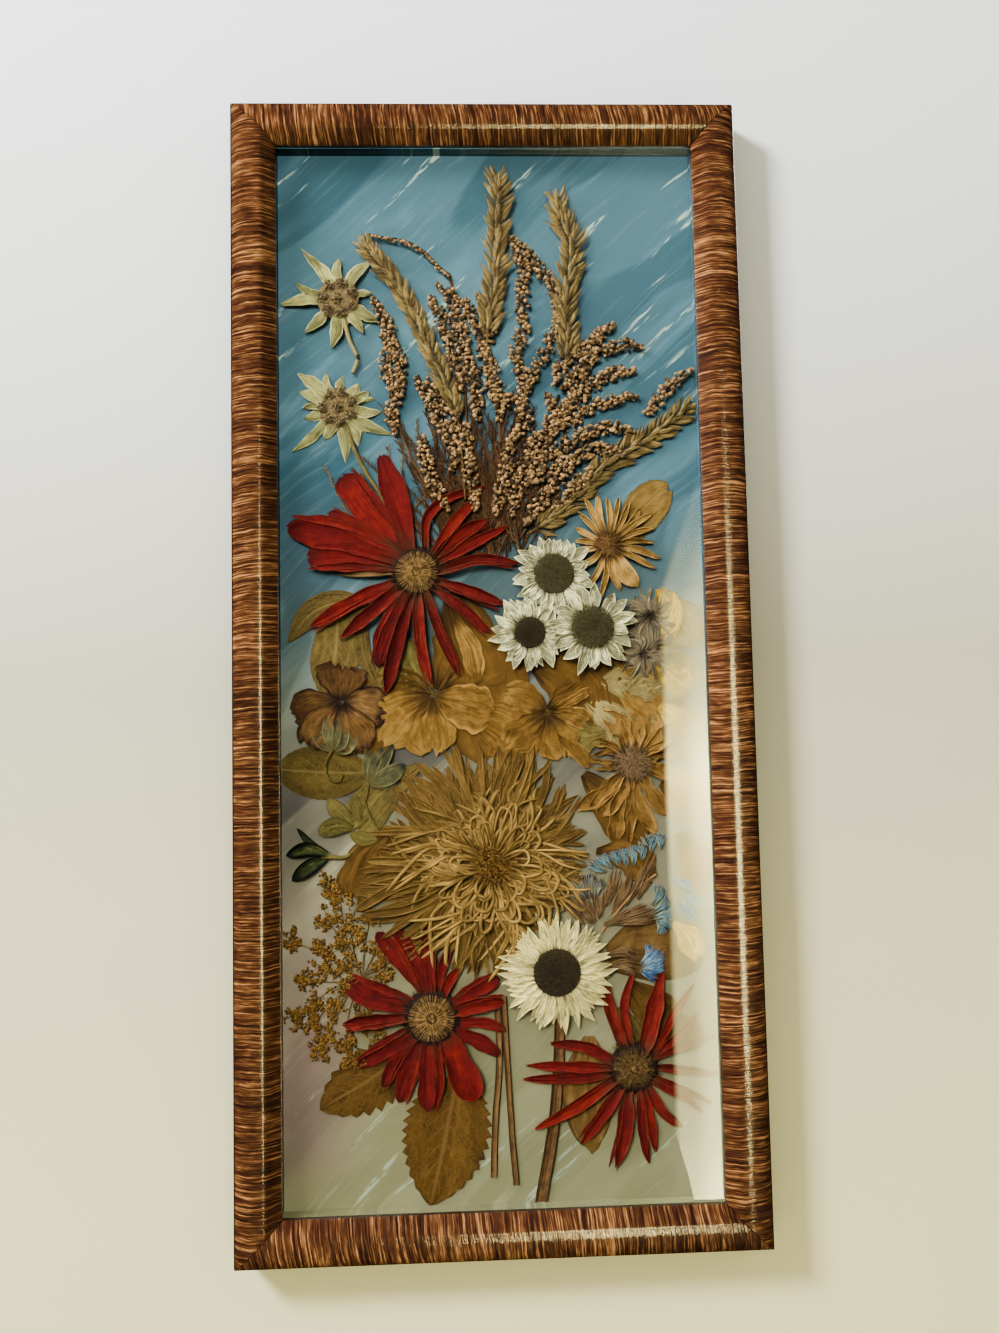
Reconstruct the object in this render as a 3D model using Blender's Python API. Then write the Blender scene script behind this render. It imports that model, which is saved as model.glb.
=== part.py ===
"""A pressed flower picture: dried flowers, grasses and leaves on a painted board, glazed and framed.

The constants are in millimetres and the scene is in metres. The picture hangs on a wall: X runs to the
right, Z runs up and the front faces -Y. The origin is the middle notch of the hanger, on the wall's plane.
The depth of a piece is its distance out from the wall, so a depth d lies at y = -d.
"""

import math

import bmesh
import bpy
from mathutils import Vector

MM = 0.001
GAP = 0.3  # clearance between pieces that touch in the real frame

# The wooden frame
FRAME_WIDTH = 200.0
FRAME_HEIGHT = 444.0
FRAME_TOP = 34.0  # above the hanger's notch
RAIL_WIDTH = 18.0
REBATE_WIDTH = 12.0  # wood left beside the glass and the boards
LIP_BACK = 13.5  # depth at which the glass meets the lip
# The moulding's section: distance in from the outer edge, and depth. Its crown is just outside the middle.
MOULDING = (
    (0.0, 0.0), (0.0, 14.0), (1.2, 16.4), (3.5, 18.4), (7.0, 19.7), (10.0, 20.0), (13.0, 19.3),
    (15.5, 17.8), (17.3, 16.2), (RAIL_WIDTH, 15.0), (RAIL_WIDTH, LIP_BACK),
    (REBATE_WIDTH, LIP_BACK), (REBATE_WIDTH, 0.0),
)

# What lies in the rebate, from the front to the back
GLASS_THICK = 2.0
FLOWER_SPACE = 6.0
BOARD_THICK = 1.2
BACKING_THICK = 1.5
GLASS_BACK = LIP_BACK - GAP - GLASS_THICK
BOARD_FRONT = GLASS_BACK - FLOWER_SPACE
BACKING_FRONT = BOARD_FRONT - BOARD_THICK - GAP
BACKING_BACK = BACKING_FRONT - BACKING_THICK
SPACER_WIDTH = 5.0

# The sawtooth hanger
HANGER_LENGTH = 46.0
HANGER_TALL = 9.0
HANGER_THICK = 0.8
HANGER_RISE = 0.9  # its middle stands off the backing board by this much more
HANGER_FLAT = 15.0  # half the length between the two bends
HANGER_BEND = 3.0
TOOTH_PITCH = 3.0
TOOTH_DEEP = 1.6
HANGER_TEETH = 5
NAIL_AT = 19.0
NAIL_RADIUS = 1.7
NAIL_HEAD = 0.6
NAIL_RIM = 0.2  # the height of the head's straight side

# Pressed pieces lie on each other in layers: layer 0 rests on the painted board
LEAF_THICK = 0.5
LAYER_PITCH = LEAF_THICK + GAP
SPRAY_THICK = 2 * LEAF_THICK + GAP  # seeds and ears are as thick as two layers
SEAM = 0.08  # a piece joined to a leaf lies this much inside its faces, so that no faces coincide
STEM_RUN = 12.0  # the longest straight run of a bare stem
# An ear of grass and a branch of seeds: the pitch of its bumps, and its half widths
EAR = {"pitch": 5.4, "wide": 4.6, "narrow": 2.6, "stem": 0.7}
BRANCH = {"pitch": 5.8, "wide": 3.2, "narrow": 2.0, "stem": 0.8}
UMBEL_HUB = 2.2
UMBEL_RAY = 0.4  # half the width of a ray
UMBEL_SIDES = 6  # of a round head
STAGGER = 0.007  # each ray starts this much further out than the last, so that no faces coincide
CORE_SIDES = 10

RED = (0.42, 0.02, 0.01)
CREAM = (0.75, 0.72, 0.55)
STRAW = (0.55, 0.40, 0.16)
GOLD = (0.45, 0.25, 0.05)
BROWN = (0.16, 0.08, 0.035)
OLIVE = (0.30, 0.26, 0.07)


def depth_of(layer):
    """The lower face of a layer, as a depth."""
    return BOARD_FRONT + GAP + layer * LAYER_PITCH


def clear_scene():
    for obj in list(bpy.data.objects):
        bpy.data.objects.remove(obj)


def material(name, colour, roughness=0.7, metallic=0.0, transmission=0.0):
    found = bpy.data.materials.get(name)
    if found:
        return found
    made = bpy.data.materials.new(name)
    made.use_nodes = True
    shader = made.node_tree.nodes["Principled BSDF"]
    shader.inputs["Base Color"].default_value = (*colour, 1.0)
    shader.inputs["Roughness"].default_value = roughness
    shader.inputs["Metallic"].default_value = metallic
    shader.inputs["Transmission Weight"].default_value = transmission
    made.diffuse_color = (*colour, 1.0)
    return made


def place(name, bm, finish):
    """Makes the finished bmesh an object of this name."""
    bmesh.ops.recalc_face_normals(bm, faces=bm.faces)
    mesh = bpy.data.meshes.new(name)
    bm.to_mesh(mesh)
    bm.free()
    mesh.materials.append(finish)
    obj = bpy.data.objects.new(name, mesh)
    bpy.context.scene.collection.objects.link(obj)
    return obj


def shade_round(obj):
    obj.data.shade_smooth()
    obj.data.set_sharp_from_angle(angle=math.radians(40))


def combine(obj, other, operation="UNION"):
    """Joins a helper to the object, or cuts it away, and keeps the helper as a wire."""
    other.hide_render = True
    other.display_type = "WIRE"
    modifier = obj.modifiers.new(other.name, "BOOLEAN")
    modifier.operation = operation
    modifier.object = other


def slab(name, outline, depth, thick, finish):
    """A flat piece: an outline of (x, z) points, from one depth to another nearer the glass."""
    bm = bmesh.new()
    corners = [bm.verts.new((x * MM, -depth * MM, z * MM)) for x, z in outline]
    face = bm.faces.new(corners)
    made = bmesh.ops.extrude_face_region(bm, geom=[face])
    raised = [item for item in made["geom"] if isinstance(item, bmesh.types.BMVert)]
    bmesh.ops.translate(bm, verts=raised, vec=(0, -thick * MM, 0))
    return place(name, bm, finish)


def turned(name, centre, profile, finish, sides=CORE_SIDES):
    """A round piece about an axis towards the viewer: a profile of (radius, depth) points."""
    bm = bmesh.new()
    x, z = centre
    points = [bm.verts.new(((x + radius) * MM, -depth * MM, z * MM)) for radius, depth in profile]
    edges = [bm.edges.new(pair) for pair in zip(points, points[1:])]
    bmesh.ops.spin(
        bm, geom=points + edges, cent=(x * MM, 0, z * MM), axis=(0, 1, 0),
        angle=math.tau, steps=sides, use_merge=True,
    )
    bmesh.ops.remove_doubles(bm, verts=bm.verts, dist=0.001 * MM)
    obj = place(name, bm, finish)
    shade_round(obj)
    return obj


# ---- Outlines ----

def box_outline(x0, x1, z0, z1):
    return [(x0, z0), (x1, z0), (x1, z1), (x0, z1)]


def curve_through(points, steps, closed=False):
    """Points on the smooth curve through the given ones, with this many to each stretch."""
    count = len(points)
    found = []
    for i in range(count if closed else count - 1):
        if closed:
            a, b, c, d = (Vector(points[(i + k) % count]) for k in (-1, 0, 1, 2))
        else:
            a, b, c, d = (Vector(points[min(max(i + k, 0), count - 1)]) for k in (-1, 0, 1, 2))
        for step in range(steps):
            t = step / steps
            bend = (2 * a - 5 * b + 4 * c - d) * t * t + (3 * b - a - 3 * c + d) * t * t * t
            found.append(b + 0.5 * ((c - a) * t + bend))
    if not closed:
        found.append(Vector(points[-1]))
    return found


def at_length(points, length):
    """The place this far along a line of points, and the direction there."""
    for a, b in zip(points, points[1:]):
        span = (b - a).length
        if length <= span:
            return a + (b - a) * (length / span), (b - a) / span
        length -= span
    return points[-1], (points[-1] - points[-2]).normalized()


def line_length(points):
    return sum((b - a).length for a, b in zip(points, points[1:]))


def sprig_outline(points, head, pitch, wide, narrow, stem):
    """An ear or a branch of seeds from its tip down: bumps at a pitch along the head, then a bare stem."""
    line = curve_through(points, 3)
    total = line_length(line)
    head = min(head, total)
    left, right = [], []

    def widen(length, half):
        spot, along = at_length(line, length)
        side = Vector((-along.y, along.x)) * half
        left.append(spot + side)
        right.append(spot - side)

    bumps = max(2, round(head / pitch))
    for i in range(bumps):
        for share, half in ((0.35, wide), (1.0, narrow)):
            taper = min(1.0, 0.55 + 0.15 * (i + share))
            widen((i + share) * head / bumps, half * taper)
    bare = total - head
    runs = math.ceil(bare / STEM_RUN) if bare > 1 else 0
    for i in range(runs):
        widen(head + bare * (i + 1) / runs, stem)
    return [tuple(p) for p in [line[0], *right, *reversed(left)]]


def stem_outline(points, half):
    """A bare stem of this half width, a little narrower at its start."""
    return sprig_outline(points, 2.0, 1.0, half, half, half)


def leaf_outline(points, teeth=0, bite=0.0):
    """A leaf: a smooth closed curve through the points, or one with this many teeth to each stretch."""
    if not teeth:
        return [tuple(p) for p in curve_through(points, 2, closed=True)]
    ring = curve_through(points, 2 * teeth, closed=True)
    middle = sum(ring, Vector((0, 0))) / len(ring)
    return [
        tuple(p + (middle - p).normalized() * bite) if i % 2 else tuple(p)
        for i, p in enumerate(ring)
    ]


def petal_reach(turn, length, width, shoulder):
    """How far a petal reaches at an angle from its own axis, or 0 beside it."""
    half = width / 2
    widest_at = shoulder * length
    if abs(turn) > math.atan2(half, widest_at) + 1e-9:
        return 0.0
    return length * half / (half * math.cos(turn) + (length - widest_at) * math.sin(abs(turn)))


def flower_outline(centre, hub, petals, shoulder=0.6):
    """The outline of petals (direction in degrees, length, width), each widest at its shoulder."""
    kites = [(math.radians(way), length, width) for way, length, width in petals]

    def reach(angle):
        turns = [math.remainder(angle - way, math.tau) for way, _, _ in kites]
        return max(petal_reach(t, k[1], k[2], shoulder) for t, k in zip(turns, kites))

    angles = []
    for way, length, width in kites:
        spread = math.atan2(width / 2, shoulder * length)
        angles += [(way + turn) % math.tau for turn in (-spread, 0.0, spread)]
    angles.sort()
    rim = [(angle, max(hub, reach(angle))) for angle in angles]
    for a, b in zip(angles, angles[1:] + [angles[0] + math.tau]):
        if reach((a + b) / 2) == 0.0:
            rim.append(((a + b) / 2 % math.tau, hub))
    rim.sort()
    kept = [rim[0]]
    for angle, radius in rim[1:]:
        if angle - kept[-1][0] > math.radians(1.2):
            kept.append((angle, radius))
        elif radius > kept[-1][1]:
            kept[-1] = (kept[-1][0], radius)
    x, z = centre
    return [(x + r * math.cos(a), z + r * math.sin(a)) for a, r in kept]


def even_petals(count, length, width, start=0.0, uneven=0.08):
    """A ring of like petals, a little uneven in length and spacing."""
    ring = []
    for i in range(count):
        sway = math.sin(2.4 * i + start)
        ring.append((start + 360 / count * (i + 0.25 * sway), length * (1 + uneven * sway), width))
    return ring


# ---- The frame and what it holds ----

def build_rails(wood):
    """Four rails of one section. Each is extruded to its two mitred ends, which mirror each other."""
    shift = GAP / math.sqrt(2)
    middle = FRAME_TOP - FRAME_HEIGHT / 2
    for name, length, across, turn in (
        ("rail_top", FRAME_WIDTH, FRAME_HEIGHT, 0),
        ("stile_left", FRAME_HEIGHT, FRAME_WIDTH, 90),
        ("rail_bottom", FRAME_WIDTH, FRAME_HEIGHT, 180),
        ("stile_right", FRAME_HEIGHT, FRAME_WIDTH, 270),
    ):
        bm = bmesh.new()
        section = [
            bm.verts.new((-(length / 2 - u - shift) * MM, -depth * MM, (across / 2 - u) * MM))
            for u, depth in MOULDING
        ]
        made = bmesh.ops.extrude_face_region(bm, geom=[bm.faces.new(section)])
        for item in made["geom"]:
            if isinstance(item, bmesh.types.BMVert):
                item.co.x = -item.co.x
        rail = place(name, bm, wood)
        rail.rotation_euler.y = -math.radians(turn)
        rail.location.z = middle * MM
        shade_round(rail)


def build_stack():
    """The glass, the painted board, the backing board and the strips that keep glass and board apart."""
    left = -FRAME_WIDTH / 2 + REBATE_WIDTH + GAP
    top = FRAME_TOP - REBATE_WIDTH - GAP
    bottom = FRAME_TOP - FRAME_HEIGHT + REBATE_WIDTH + GAP
    full = box_outline(left, -left, bottom, top)
    glass = material("clear_glass", (0.9, 0.95, 0.93), 0.02, transmission=1.0)
    slab("glass_pane", full, GLASS_BACK, GLASS_THICK, glass)
    paint = material("painted_board", (0.10, 0.24, 0.29), 0.6)
    slab("painted_board", full, BOARD_FRONT - BOARD_THICK, BOARD_THICK, paint)
    hardboard = material("hardboard", (0.17, 0.09, 0.045), 0.8)
    slab("backing_board", full, BACKING_BACK, BACKING_THICK, hardboard)
    strip = material("spacer_wood", (0.03, 0.022, 0.016), 0.8)
    depth = BOARD_FRONT + GAP
    thick = GLASS_BACK - GAP - depth
    inner = left + SPACER_WIDTH
    for name, outline in (
        ("spacer_top", box_outline(left, -left, top - SPACER_WIDTH, top)),
        ("spacer_bottom", box_outline(left, -left, bottom, bottom + SPACER_WIDTH)),
        ("spacer_left", box_outline(left, inner, bottom + SPACER_WIDTH + GAP, top - SPACER_WIDTH - GAP)),
        ("spacer_right", box_outline(-inner, -left, bottom + SPACER_WIDTH + GAP, top - SPACER_WIDTH - GAP)),
    ):
        slab(name, outline, depth, thick, strip)


def build_hanger():
    """A bent steel strip with teeth along its lower edge. The middle notch is the origin."""
    steel = material("hanger_steel", (0.55, 0.52, 0.45), 0.35, 1.0)
    seat = BACKING_BACK - GAP
    raised = seat - HANGER_RISE
    half = HANGER_LENGTH / 2
    bend = HANGER_FLAT - HANGER_BEND
    near = [(-half, seat), (-HANGER_FLAT, seat), (-bend, raised), (bend, raised), (HANGER_FLAT, seat),
            (half, seat)]
    section = near + [(x, depth - HANGER_THICK) for x, depth in reversed(near)]
    bm = bmesh.new()
    face = bm.faces.new([bm.verts.new((x * MM, -depth * MM, -TOOTH_DEEP * MM)) for x, depth in section])
    made = bmesh.ops.extrude_face_region(bm, geom=[face])
    upper = [item for item in made["geom"] if isinstance(item, bmesh.types.BMVert)]
    bmesh.ops.translate(bm, verts=upper, vec=(0, 0, (HANGER_TALL + TOOTH_DEEP) * MM))
    hanger = place("sawtooth_hanger", bm, steel)
    for i in range(HANGER_TEETH):
        x = (i - (HANGER_TEETH - 1) / 2) * TOOTH_PITCH
        notch = [(x - TOOTH_PITCH / 2, -2 * TOOTH_DEEP), (x + TOOTH_PITCH / 2, -2 * TOOTH_DEEP), (x, 0)]
        cutter = slab(f"notch_{i}", notch, raised - 2 * HANGER_THICK, 4 * HANGER_THICK, steel)
        combine(hanger, cutter, "DIFFERENCE")
    inside = seat - HANGER_THICK / 2
    outer = seat - HANGER_THICK
    for side in (-1, 1):
        head = ((0, inside), (NAIL_RADIUS, inside), (NAIL_RADIUS, outer - NAIL_RIM),
                (NAIL_RADIUS / 2, outer - NAIL_HEAD), (0, outer - NAIL_HEAD))
        combine(hanger, turned(f"nail_{side}", (side * NAIL_AT, HANGER_TALL / 2), head, steel, 8))


# ---- Flowers ----

def build_flower(name, centre, layer, petals, disc, colours, shoulder=0.6, stalk=0.5, dome=1.8, hub=0.8):
    """A flower pressed face up: its petals in one layer, and a disc whose base reaches the board.

    Disc is the disc's radius; stalk and hub are the radii, as shares of it, of the base and of the
    ring where the petals part; dome is the disc's height over the petals.
    """
    outline = flower_outline(centre, hub * disc, petals, shoulder)
    flower = slab(name, outline, depth_of(layer), LEAF_THICK, colours)
    foot = depth_of(0) if stalk else depth_of(layer) + 0.15
    base = stalk * disc if stalk else 0.7 * disc
    face = depth_of(layer) + LEAF_THICK
    profile = (
        (0, foot), (base, foot), (base, depth_of(layer) + 0.3), (disc, face + 0.25 * dome),
        (0.75 * disc, face + 0.75 * dome), (0.35 * disc, face + dome), (0, face + dome),
    )
    combine(flower, turned(name + "_disc", centre, profile, colours))
    return flower


def build_red_daisies():
    red = material("red_petals", RED, 0.6)
    build_flower(
        "red_daisy_upper", (-29.5, -152.5), 2,
        [(4, 39, 4.5), (27, 40, 4), (36, 35, 4.5), (51, 40, 3.5), (62, 33, 3.5), (104, 48, 9),
         (126, 47, 12), (146, 41, 6), (159, 52, 12), (172, 43, 10), (206, 46, 6), (220, 38, 6),
         (246, 40, 6), (254, 49, 7), (276, 43, 5.5), (293, 42, 5.5), (320, 36, 6), (340, 36, 6)],
        9.3, red,
    )
    build_flower(
        "red_daisy_left", (-26.5, -323.0), 1,
        [(12, 29, 6), (29, 30, 7), (55, 21, 5.5), (73, 29, 4), (92, 34, 5), (110, 35, 6), (120, 38, 6),
         (154, 33, 9), (182, 32, 6), (212, 32, 6.5), (232, 32, 4.5), (248, 33, 7), (265, 35, 8.5),
         (302, 36, 13), (331, 29, 5), (349, 29, 4)],
        10.0, red,
    )
    build_flower(
        "red_daisy_right", (50.0, -345.0), 1,
        [(21, 31, 4), (38, 31, 3.5), (52, 38, 4), (71, 36, 8.5), (88, 38, 4), (106, 36, 4.5), (161, 34, 4),
         (176, 41, 4), (184, 43, 4), (208, 43, 5), (232, 35, 5), (258, 38, 6), (279, 35, 4.5), (307, 28, 4),
         (327, 30, 4), (340, 31, 3.5), (356, 31, 3.5)],
        9.3, red, stalk=0.45,
    )


def build_everlastings():
    cream = material("papery_petals", CREAM, 0.6)
    build_flower("everlasting_top", (24.0, -154.0), 3, even_petals(22, 15.6, 4, 5), 7.2, cream, dome=0.9)
    build_flower("everlasting_left", (14.0, -177.0), 4, even_petals(20, 14.6, 4, 2), 5.8, cream, dome=0.9)
    build_flower("everlasting_right", (38.5, -175.5), 5, even_petals(18, 18, 4.5, 8), 7.6, cream, dome=0.9)
    petals = even_petals(28, 21.5, 4.6, 3)
    build_flower("everlasting_large", (21.5, -307.0), 3, petals, 8.6, cream, dome=1.2)


def build_straw_and_brown_flowers():
    straw = material("straw_petals", STRAW, 0.7)
    build_flower(
        "straw_daisy", (45.5, -143.0), 2,
        [(20, 20, 3), (35, 22, 3), (47, 20, 3.5), (75, 20, 2.5), (99, 21, 3.5), (113, 21, 3), (150, 13, 3),
         (187, 12, 3), (245, 17, 3), (261, 20, 3), (285, 18, 4), (306, 20, 7), (334, 21, 3),
         (346, 21, 3.5)],
        4.8, straw, dome=1.4,
    )
    build_flower(
        "brown_disc_flower", (53.0, -228.0), 1,
        [(10, 22, 7), (40, 21, 8), (68, 22, 8), (92, 22, 9), (118, 22, 9), (150, 21, 6), (182, 22, 4),
         (216, 26, 8), (238, 28, 7), (254, 30, 7), (270, 28, 7), (285, 28, 7), (305, 27, 7), (340, 22, 7)],
        8.0, material("golden_petals", GOLD, 0.7), dome=1.6,
    )


def build_edelweiss():
    """Two woolly stars of pointed bracts, each with its bent stem."""
    wool = material("edelweiss_wool", (0.62, 0.55, 0.26), 0.9)
    upper = build_flower(
        "edelweiss_upper", (-59.0, -43.0), 2,
        [(10, 14, 4), (49, 20, 5), (68, 13, 4), (87, 17, 5), (116, 17, 5), (124, 24, 4), (158, 18, 4),
         (185, 22, 5), (225, 19, 5), (262, 20, 5.5), (306, 16, 5), (330, 17, 6)],
        8.5, wool, shoulder=0.45, dome=1.6,
    )
    stem = [(-57.5, -48), (-54.5, -60), (-51.5, -67), (-53.5, -73)]
    combine(upper, stem_slab("edelweiss_upper_stem", stem, 0.8, 2, wool))
    lower = build_flower(
        "edelweiss_lower", (-59.5, -86.5), 0,
        [(355, 16, 5), (28, 14, 5), (50, 13, 5), (82, 12, 4), (138, 20, 6), (156, 16, 6), (197, 13, 5),
         (224, 24, 4.5), (246, 13, 5), (277, 21, 5.5), (298, 16, 5.5), (333, 23, 4.5)],
        9.5, wool, shoulder=0.45, dome=1.6,
    )
    stem = [(-56, -94), (-53, -104), (-49, -112), (-44, -120), (-41, -126)]
    combine(lower, stem_slab("edelweiss_lower_stem", stem, 0.8, 0, wool))


def stem_slab(name, points, half, layer, finish):
    """A bare stem of this half width along a line of points, a little thinner than a leaf."""
    return slab(name, stem_outline(points, half), depth_of(layer) + SEAM, LEAF_THICK - 2 * SEAM, finish)


def build_chrysanthemum():
    """A spider chrysanthemum: a ring of long straps, a shorter and thicker ring on it, and a seedy core."""
    centre = (-2.5, -266.5)
    straw = material("straw_petals", STRAW, 0.7)
    ring = []
    for i in range(32):
        way = 11.25 * i
        longest = 40 + 9 * math.cos(math.radians(2 * (way - 150))) + 2.5 * math.sin(2.3 * i)
        ring.append((way, longest, 5.0))
    flower = build_flower("chrysanthemum", centre, 2, ring, 10.0, straw, dome=2.6, stalk=0.8, hub=2.2)
    inner = flower_outline(centre, 13.0, even_petals(22, 20, 3.6, 4, 0.12))
    combine(flower, slab("chrysanthemum_inner", inner, depth_of(2) + 0.2, LEAF_THICK + 1.1, straw))


def build_broad_flowers():
    """The pansy and the two golden flowers, whose few petals are broad, and the larkspur."""
    brown = material("pansy_petals", BROWN, 0.6)
    pansy = [(-60, -200), (-65, -196), (-68, -191), (-60, -188.5), (-50, -192), (-54, -198), (-48, -200),
             (-43.5, -208), (-47, -217), (-55, -221), (-63, -219), (-71, -217), (-77, -211), (-76, -204),
             (-70, -199)]
    petals = slab("pansy", leaf_outline(pansy), depth_of(1), LEAF_THICK, brown)
    eye = ((0, depth_of(0)), (3, depth_of(0)), (3, depth_of(1) + 0.9), (1.2, depth_of(1) + 1.2),
           (0, depth_of(1) + 1.2))
    combine(petals, turned("pansy_eye", (-60.0, -203.0), eye, brown, 10))
    gold = material("golden_petals", GOLD, 0.7)
    left = [(-44, -194), (-48.5, -200), (-44, -207), (-45, -217), (-38, -223), (-30, -220.5), (-22, -224),
            (-17, -218), (-8, -219.5), (-1, -214), (-1, -200), (-7, -197), (-4, -189), (-8, -178),
            (-15, -172), (-19, -178), (-15, -190), (-20, -197), (-32, -197)]
    slab("golden_flower_left", leaf_outline(left), depth_of(0), LEAF_THICK, gold)
    right = [(19, -196), (8, -195.5), (4, -202), (8, -208), (6, -213), (3.5, -219), (9, -225), (20, -225),
             (28, -222), (33, -214), (38, -206), (32, -202), (25, -204)]
    slab("golden_flower_right", leaf_outline(right), depth_of(0), LEAF_THICK, gold)
    pale = [(41, -201), (45, -193.5), (55, -191), (63, -193.5), (72, -191), (79, -197), (77, -205),
            (66, -203.5), (57, -205), (50, -205)]
    cream = material("pale_petals", (0.5, 0.42, 0.2))
    slab("pale_petals", leaf_outline(pale), depth_of(0), LEAF_THICK, cream)


def build_larkspurs():
    blue = material("larkspur_petals", (0.22, 0.25, 0.16), 0.7)
    spur = [(-60.5, -218), (-61, -224), (-64, -228), (-65, -232), (-61, -234.5), (-58, -233.5)]
    left = slab(
        "larkspur_left",
        flower_outline((-61, -219), 2.2, [(30, 10, 4), (62, 9, 4), (100, 9, 4.5), (140, 11, 4)]),
        depth_of(2), LEAF_THICK, blue,
    )
    combine(left, stem_slab("larkspur_spur", spur, 0.9, 2, blue))
    right = slab(
        "larkspur_right",
        flower_outline((-49, -229), 2.5, [(20, 15, 7), (52, 12, 6), (88, 10, 4), (345, 13, 5)]),
        depth_of(1), LEAF_THICK, blue,
    )
    stem = [(-49, -230), (-51.5, -236), (-52, -243), (-51, -248)]
    combine(right, stem_slab("larkspur_right_stem", stem, 0.9, 1, blue))
    leaves = flower_outline((-51, -248), 1.5, [(108, 11, 4.5), (150, 18, 6), (190, 19, 8)])
    combine(right, slab("trefoil_leaves", leaves, depth_of(1) + 0.1, LEAF_THICK, blue))
    green = material("green_bud", (0.05, 0.07, 0.03), 0.7)
    tips = flower_outline((-65, -262), 2.2, [(6, 10, 3), (137, 16, 3), (168, 16, 7), (210, 17, 6)])
    bud = slab("green_bud", tips, depth_of(0), LEAF_THICK, green)
    stem = [(-63, -262), (-56, -262), (-52, -258), (-49, -254)]
    combine(bud, stem_slab("green_bud_stem", stem, 0.7, 0, green))


def build_cornflowers():
    """Four thistle-like heads: fringed blue florets, two of them over a brown base of scales."""
    blue = material("cornflower_petals", (0.06, 0.16, 0.27), 0.8)
    upper = [(38, -270), (36.5, -265), (45, -261.5), (55, -258.5), (65, -257), (65, -262), (57, -267.5),
             (47, -269.5)]
    slab("cornflower_upper", leaf_outline(upper, 1, 1.0), depth_of(0), LEAF_THICK, blue)
    left = [(25, -276), (27, -271.5), (34, -271), (40, -275), (38, -280), (31, -287), (24, -282)]
    slab("cornflower_left", leaf_outline(left, 1, 1.0), depth_of(0), LEAF_THICK, blue)
    right = [(59, -279), (62, -276.5), (65, -279), (66, -286), (64, -292), (61, -290.5), (59, -285)]
    slab("cornflower_right", leaf_outline(right, 1, 0.8), depth_of(1), LEAF_THICK, blue)
    lower = [(54.5, -303), (58, -298.5), (64, -299), (64, -304), (59.5, -307.5), (55, -307)]
    slab("cornflower_lower", leaf_outline(lower, 1, 0.8), depth_of(1), LEAF_THICK, blue)


def build_umbel():
    """A flattened umbel: thin rays from one point, each with a round head of tiny flowers."""
    hub = Vector((-52.0, -305.5))
    gold = material("umbel_gold", (0.35, 0.20, 0.04), 0.8)
    rest = depth_of(0)
    profile = ((0, rest), (UMBEL_HUB, rest), (UMBEL_HUB, rest + 0.4), (0, rest + LEAF_THICK))
    umbel = turned("umbel", hub, profile, gold, 8)
    heads = [(-64, -275, 5), (-66, -286, 4.5), (-57, -289, 5), (-69, -297, 4), (-60, -297, 3.5),
             (-46, -285, 5), (-35, -284, 6), (-33, -297, 4), (-74, -308, 5), (-65, -305, 4),
             (-66, -317, 6), (-77, -321, 3), (-63, -328, 5.5), (-55, -330.5, 4.5), (-42, -308, 3.5)]
    for i, (x, z, radius) in enumerate(heads):
        head = Vector((x, z))
        out = (head - hub).normalized()
        side = Vector((-out.y, out.x)) * UMBEL_RAY
        neck = head - out * radius
        ray = [hub - side, neck - side]
        for k in range(1, UMBEL_SIDES):
            angle = math.atan2(-out.y, -out.x) + math.tau * k / UMBEL_SIDES
            ray.append(head + radius * Vector((math.cos(angle), math.sin(angle))))
        ray += [neck + side, hub + side]
        lift = (i + 1) * STAGGER
        combine(umbel, slab(f"ray_{i}", [tuple(p) for p in ray], rest + lift, UMBEL_RAY, gold))


# ---- Grasses, sprays, leaves and stems ----

def build_grass_ears():
    straw = material("grass_straw", (0.50, 0.36, 0.15), 0.8)
    for name, points, head in (
        ("grass_ear_left", [(-50, -17), (-44, -23), (-38, -31), (-32, -39), (-28, -49), (-24, -59),
                            (-22, -66), (-18, -76), (-15, -85), (-12, -100), (-10, -112), (-9, -124)], 78),
        ("grass_ear_centre", [(5, 15), (3, 2), (3, -13), (2, -27), (3, -39), (5, -48), (6, -60)], 68),
        ("grass_ear_right", [(29, 3), (29, -8), (30, -19), (31, -30), (32, -39), (32, -52), (31, -62),
                             (30, -74)], 72),
        ("grass_ear_leaning", [(81, -87), (74, -93), (67, -97), (63, -102), (55, -107), (47, -113),
                               (39, -120), (30, -126), (21, -131), (14.5, -136)], 76),
    ):
        layer = 0 if name == "grass_ear_leaning" else 2
        slab(name, sprig_outline(points, head, **EAR), depth_of(layer), SPRAY_THICK, straw)


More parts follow.
